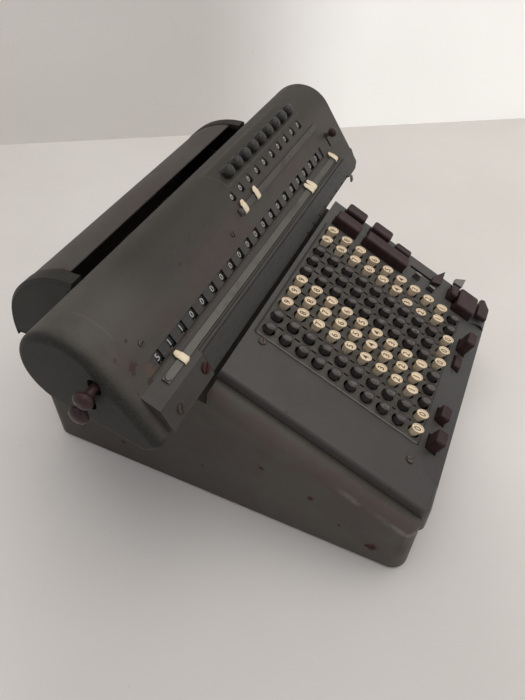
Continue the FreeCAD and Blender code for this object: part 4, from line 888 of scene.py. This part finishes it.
def strip_enamel():
    """Satin black with scuffs, and a brown worn patch at the left end."""
    finish = Finish("black strip enamel")
    scuff = finish.cloud(6, 0.5, 0.75, 5.0, (1, 4, 4), 1.0)
    colour = finish.mix(scuff, (0.030, 0.026, 0.022), (0.052, 0.045, 0.038))
    worn = finish.rise(finish.x + finish.cloud(5) * 0.004, -0.165, -0.170)
    colour = finish.mix(worn * 0.85, colour, (0.075, 0.045, 0.028))
    return finish.done(colour, 0.38 + scuff * 0.15, 0.0, finish.cloud(1.5, 0.2, 0.8), 0.03)


dressed("window_strip", "carriage", strip_enamel(), 0.25)


# Number wheels
# Moulded black drums on the two shafts, each with the figures 0 to 9 in white round its rim. The
# lower row stands at 5 1 1 and zeros, the upper row at zeros.

wheel_black = moulding("wheel black", (0.016, 0.016, 0.016), (0.022, 0.021, 0.020), 0.45,
                       (0.04, 0.038, 0.034))
wheel_white = moulding("wheel figures", (0.50, 0.47, 0.42), (0.40, 0.37, 0.33), 0.55, (0.24, 0.21, 0.18))
wheel_figures = [figure(str(number), 5.8, 0.008) for number in range(10)]


def wrapped(points, radius, facing, x, y, z):
    """Bends flat points round a drum: height becomes an angle, taken from where the figure faces."""
    turn = np.radians(facing) - points[:, 1] / radius
    return np.stack([x + points[:, 0], y + radius * np.cos(turn), z + radius * np.sin(turn)], -1)


def drums(places, shown, y, z, radius, size):
    """Drums about a shaft along x with rounded rims and ten wrapped figures each, scaled by size. A
    figure faces the windows when it is the one shown, and the others follow a tenth of a turn apart."""
    parts = []
    bore, rim, half = 2.56, radius - 0.25, 4.5
    profile = [(-half, bore), (-half, rim - 0.45), (-half + 0.4, rim), (half - 0.4, rim),
               (half, rim - 0.45), (half, bore), (-half, bore)]
    drum = turned(profile, 40)[..., [2, 0, 1]]
    for x, front in zip(places, shown):
        parts.append(((drum + (x, y, z)).reshape(-1, 3), [quads(len(profile), 40)], 0))
        for number, (flat, faces) in enumerate(wheel_figures):
            facing = 90 + FACE[0] + (number - front) * 36
            parts.append((wrapped(flat * size, radius - 0.2, facing, x, y, z), [faces], 1))
    return parts


# Each row's places and shown figures, y and z of its shaft, radius and scale of the figures
lower_row = (accumulator_x, [5, 1, 1] + [0] * 17, 36.817, 185.672, 11.8, 0.94)
upper_row = (counter_x, [0] * 10, 56.963, 219.158, 10.3, 0.84)
for name, node, row in (("lower_number_wheels", "accumulator_wheels", lower_row),
                        ("upper_number_wheels", "counter_wheels", upper_row)):
    placed(joined(name, drums(*row)), node, [wheel_black, wheel_white], node, 0.0, 40)


# Setting knobs
# Nine small knobs of black moulded resin, nearly round, each on a thin stem that goes down through
# the floor of the trough over the upper windows.

knob_finish = moulding("black knob moulding", (0.020, 0.019, 0.017), (0.030, 0.027, 0.024), 0.36,
                       (0.06, 0.053, 0.046), 0.3)
knob_rings = turned([(-16.97, 2.5), (-6.67, 2.5), (-6.67, 4.7), (-6.1, 5.3), (-4.6, 5.68), (-2.4, 5.7),
                     (-0.7, 5.2), (0.5, 4.2), (1.2, 2.8), (1.53, 1.1)], 20)
for number, x in enumerate(knob_x, 1):
    knob = solid(tilted(knob_rings + (x, knob_row, 0), FACE))
    moulded(f"setting_knob_{number}", [knob], [knob_finish])


# Front casting and scale band
# A cast bar along the carriage's foot, enamelled like the hood but darker on its ledge, and a
# thin notched band screwed to its lower face.

casting_finish = enamel("casting enamel", (0.046, 0.044, 0.039), (0.045, 0.037, 0.033), 0.36,
                        [(-190, 10, 160, 3), (-168, 2, 163, 2.5), (-140, 6, 168, 2), (40, 2, 163, 2),
                         (110, 6, 166, 1.6), (200, 4, 160, 2.5)])
dressed("front_casting", "carriage", casting_finish, 0.5)


def band_finish():
    """Grey enamelled strip, painted paler along its top as painted light, and grimy at the notched foot."""
    finish = Finish("scale band enamel")
    # Painted light: the strip's top is painted paler than its lower part
    high = finish.rise(finish.z, 0.158, 0.170)
    colour = finish.mix(high, (0.026, 0.025, 0.024), (0.044, 0.043, 0.041))
    grime = finish.cloud(8, 0.45, 0.75, 5.0, (1, 3, 3), 1.0)
    colour = finish.mix(grime * 0.5, colour, (0.030, 0.024, 0.021))
    return finish.done(colour, 0.42 + grime * 0.2, 0.0, finish.cloud(2, 0.2, 0.8, 2.0), 0.04,
                       {"Specular IOR Level": 0.22})


dressed("scale_band", "carriage", band_finish(), 0.25)


# Marker rails and decimal markers
# Two flat guide bars with a stud at the left, and cream moulded bows that straddle them, each
# with a narrow tip towards its windows.

guide_finish = steel("guide bar steel", (0.115, 0.109, 0.10), 0.5, (0.2, 5, 5), (0.04, 0.032, 0.026))
dressed("accumulator_rail", "carriage", guide_finish, 0.25)
dressed("counter_rail", "carriage", guide_finish, 0.25)
ivory = moulding("ivory moulding", (0.80, 0.70, 0.52), (0.70, 0.57, 0.38), 0.35, (0.22, 0.12, 0.06))

# The casting's ledge runs up from its ridge to its top: places along the face and out of it
casting_top, casting_ridge = np.array([-7.2, 1.2]), np.array([-20.0, 8.4])
ledge_way = (casting_top - casting_ridge) / np.linalg.norm(casting_top - casting_ridge)
ledge_out = np.array([-ledge_way[1], ledge_way[0]])
rail_middle = casting_top - ledge_way * 7.2


def on_ledge(points):
    """Carries (x, across the rail, out of it) onto the casting's ledge and then the face."""
    x, across, out = np.moveaxis(np.asarray(points, float), -1, 0)
    flat = rail_middle + across[..., None] * ledge_way + out[..., None] * ledge_out
    return tilted(np.stack([x, flat[..., 0], flat[..., 1]], -1), FACE)


def on_upper_rail(points):
    """Carries (x, across the rail, out of it) onto the upper rail's place on the face."""
    return tilted(np.asarray(points, float) + (0, 24.8, 1.2), FACE)


def bow(x):
    """A bow across its rail: half its width, its top and its underside follow the way across. The top
    is crowned: it falls off towards the sides with the 2.6th power of the way out from the middle."""
    across = np.array([-4.58, -4.3, -3.7, -3.42, -1.6, 0.4, 2.2, 3.42, 4.2, 5.6, 7.0, 7.95])
    half = np.array([2.0, 2.9, 3.2, 3.3, 3.35, 3.35, 3.3, 3.2, 3.05, 2.75, 2.3, 1.5])
    top = np.array([1.5, 2.3, 2.95, 3.1, 3.5, 3.6, 3.6, 3.5, 3.4, 3.2, 3.0, 2.8])
    under = np.array([0.4, 0.35, 0.35, 2.12, 2.12, 2.12, 2.12, 2.12, 1.2, 1.5, 1.8, 2.0])
    side = np.linspace(-1, 1, 9)
    over = np.stack([x + half[:, None] * side, np.repeat(across[:, None], 9, 1),
                     top[:, None] - (top - under)[:, None] * 0.55 * np.abs(side) ** 2.6], -1)
    below = np.stack([x + half[:, None] * side[::-4] * 0.94, np.repeat(across[:, None], 3, 1),
                      np.repeat(under[:, None], 3, 1)], -1)
    return np.concatenate([over, below], 1)


for name, places, carry in (("accumulator_marker_left", [-150.6], on_ledge),
                            ("accumulator_marker_pair", [102.55, 109.45], on_ledge),
                            ("accumulator_marker_right", [172.0], on_ledge),
                            ("counter_marker_left", [4.0], on_upper_rail),
                            ("counter_marker_right", [28.5], on_upper_rail)):
    moulded(name, [solid(carry(bow(x))) for x in places], [ivory])


# Screws of the carriage
# Slotted steel screws: two in the casting's left block, the larger with rust in it, and two small
# dark ones in the hood's face.

rusty_screw = steel("rusty screw steel", (0.09, 0.04, 0.035), 0.5, (1, 1, 1), (0.05, 0.018, 0.014))

# The casting's lower face runs up from its foot to its ridge
casting_foot = np.array([-40.6, 5.4])
lower_way = (casting_ridge - casting_foot) / np.linalg.norm(casting_ridge - casting_foot)
lower_out = np.array([-lower_way[1], lower_way[0]])


def on_lower_face(points):
    """Carries (x, up the casting's lower face, out of it) onto the face."""
    x, up, out = np.moveaxis(np.asarray(points, float), -1, 0)
    flat = casting_foot + up[..., None] * lower_way + (out[..., None] + 1.2) * lower_out
    return tilted(np.stack([x, flat[..., 0], flat[..., 1]], -1), FACE)


def on_carriage(points):
    """Heads up to 13 mm up the casting's lower face stand on it, the others on the hood's face."""
    casting = points[:, 1].mean() < 13
    return on_lower_face(points) if casting else tilted(points + (0, 0, 1.2), FACE)


screws("carriage_screw_heads", [(-141.2, 9.5, 4.5, 1.6, 35, 1), (-180.7, 6.5, 3.5, 1.6, 60, 0),
                                (-167.8, 17.3, 2.5, 1.0, 10, 0), (-26.0, 17.3, 2.5, 1.0, 80, 0)],
       on_carriage, [screw_finish, rusty_screw], "carriage", "carriage_screws")


# Clearing knobs
# Two mushroom knobs of red-brown phenolic, each moulded in one piece with its stem, which goes in
# through an oval hole in the carriage's left end.

mushroom = turned([(-7.5, 3.2), (6.8, 3.2), (8.2, 3.7), (8.9, 5.4), (10.2, 6.9), (11.6, 7.45), (13.0, 7.4),
                   (14.6, 6.7), (15.8, 5.0), (16.4, 2.6), (16.5, 0.8)], 28)
for name, (knob_y, knob_z) in clearing_knobs.items():
    rings = mushroom[..., [2, 0, 1]] * (-1, -1, 1) + (hood_left, knob_y, knob_z)
    moulded(name, [solid(rings)], [phenolic])


# Shift lever and tabulator lever
# A flat blade through the slot right of the windows with a small round phenolic knob, and a
# pressed finger lever that hangs under the carriage's right end.

lever_up = 8.9
blade = slab(rounded_ring(1.2, 2.0, 0.3, 2), shift_lever_x, lever_up, -8, 8, FACE, 1)
ball = turned([(7, 2.3), (7.6, 3.6), (8.8, 4.4), (10.6, 4.5), (12.6, 4.4), (14.0, 3.7), (14.8, 2.4),
               (15, 1.0)], 20) + (shift_lever_x, lever_up, 0)
moulded("shift_lever", [solid(tilted(ball, FACE)), blade], [phenolic, lever_finish])
dressed("tab_lever", "tab_lever", lever_finish, 0.3)


# Table, wall and light
# A pale painted table and wall of the same off-white, a large soft lamp overhead to the right, and an
# even room light. A painted glow of daylight from a window brightens the wall's right part, and a painted
# shadow dims the table left of the machine.

def painted(name, tone, second, seed):
    """Matt off-white paint with broad uneven patches and fine specks."""
    finish = Finish(name)
    patch = finish.cloud(260, 0.3, 0.7, 3.0, seed=seed)
    colour = finish.mix(patch, tone, second)
    speck = finish.cloud(5, 0.715, 0.75, 2.0, seed=seed + 1)
    colour = finish.mix(speck * 0.45, colour, (0.30, 0.24, 0.21))
    return finish, colour


def table_paint():
    """Table paint with a painted shadow round a place left of the machine, which fades by the square of the
    way from there.
    """
    finish, colour = painted("table paint", (0.79, 0.755, 0.71), (0.75, 0.71, 0.665), 1.0)
    # Painted shadow on the table
    x, y = finish.x + 0.25, finish.y + 0.13
    painted_shadow = finish.rise(x * x + y * y, 0.10, 0.01)
    colour = finish.mix(painted_shadow * 0.5, colour, (0.45, 0.42, 0.39))
    return finish.done(colour, 0.55, 0.0, finish.cloud(6), 0.03)


def wall_paint(run, start):
    """Wall paint with a painted glow of daylight further along its run, but only where it is seen and not
    as a light on the object. It is clear from behind, so that a view from there shows the machine."""
    finish, colour = painted("wall paint", (0.82, 0.78, 0.73), (0.78, 0.74, 0.69), 4.0)
    way = finish.x * run[0] + finish.y * run[1]
    # Painted light: a glow of daylight in the wall's paint, not a lamp
    daylight = finish.rise(way, (start + 340) / 1000, (start + 650) / 1000)
    seen = sum(finish.node("ShaderNodeLightPath", out=f"Is {ray} Ray")
               for ray in ("Camera", "Glossy", "Transmission"))
    painted_glow = finish.mix(daylight * seen, (0.0, 0.0, 0.0), (0.35, 0.355, 0.345))
    return finish.done(colour, 0.7, 0.0, finish.cloud(5), 0.03,
                       {"Emission Color": painted_glow, "Emission Strength": 1.0}, open_back=True)


def backdrop(name, corners, material):
    """A single flat face with four corners in millimetres, as stage and not as part of the machine."""
    mesh = joined(name, [(np.array(corners), [np.array([[0, 1, 2, 3]])], 0)])
    mesh.materials.append(material)
    linked(name, mesh)


reach = 3000
backdrop("table", [(-reach, -reach, 0), (reach, -reach, 0), (reach, reach, 0), (-reach, reach, 0)],
         table_paint())

# The wall's foot runs through two places on the table, and on past both, and it rises to 2.4 m
wall_from, wall_to = np.array([301.6, 652.0]), np.array([803.6, -158.9])
run = (wall_to - wall_from) / np.linalg.norm(wall_to - wall_from)
left_end, right_end = wall_from - run * 1800, wall_to + run * 1800
backdrop("wall", [(*left_end, -1), (*right_end, -1), (*right_end, 2400), (*left_end, 2400)],
         wall_paint(run, wall_from @ run))

scene = bpy.context.scene
lamp = bpy.data.lights.new("overhead lamp", "AREA")
lamp.shape = "RECTANGLE"
lamp.size, lamp.size_y = 2.6, 2.6
lamp.energy = 34.0
lamp.color = (1.0, 0.97, 0.93)
lamp_piece = linked("overhead lamp", lamp)
lamp_piece.location = (0.55, -0.35, 2.0)
lamp_aim = Vector((0, 0, 0.1)) - lamp_piece.location
lamp_piece.rotation_euler = lamp_aim.to_track_quat("-Z", "Y").to_euler()
world = bpy.data.worlds.new("room")
scene.world = world
world.use_nodes = True
room_light = world.node_tree.nodes["Background"].inputs
room_light["Color"].default_value = (0.92, 0.94, 1.0, 1.0)
room_light["Strength"].default_value = 0.62
scene.view_settings.view_transform = "Standard"


# Camera
# It stands where the photograph's does, to the left of the machine and above it, and looks down
# over the carriage's left end. Its focal length and the picture's height are in pixels.

focal_length, picture_height = 598, 700
camera = bpy.data.cameras.new("camera")
camera.sensor_width = 36.0
camera.lens = focal_length / picture_height * camera.sensor_width
eye = linked("camera", camera)
eye_place = (-0.3969, -0.1582, 0.5016)
right, down, forward = np.array([(0.4136, -0.9103, 0.0089), (-0.6529, -0.3034, -0.6940),
                                 (0.6345, 0.2813, -0.7199)])
view = np.eye(4)
view[:3] = np.column_stack([right, -down, -forward, eye_place])
eye.matrix_world = Matrix(view.tolist())
scene.camera = eye
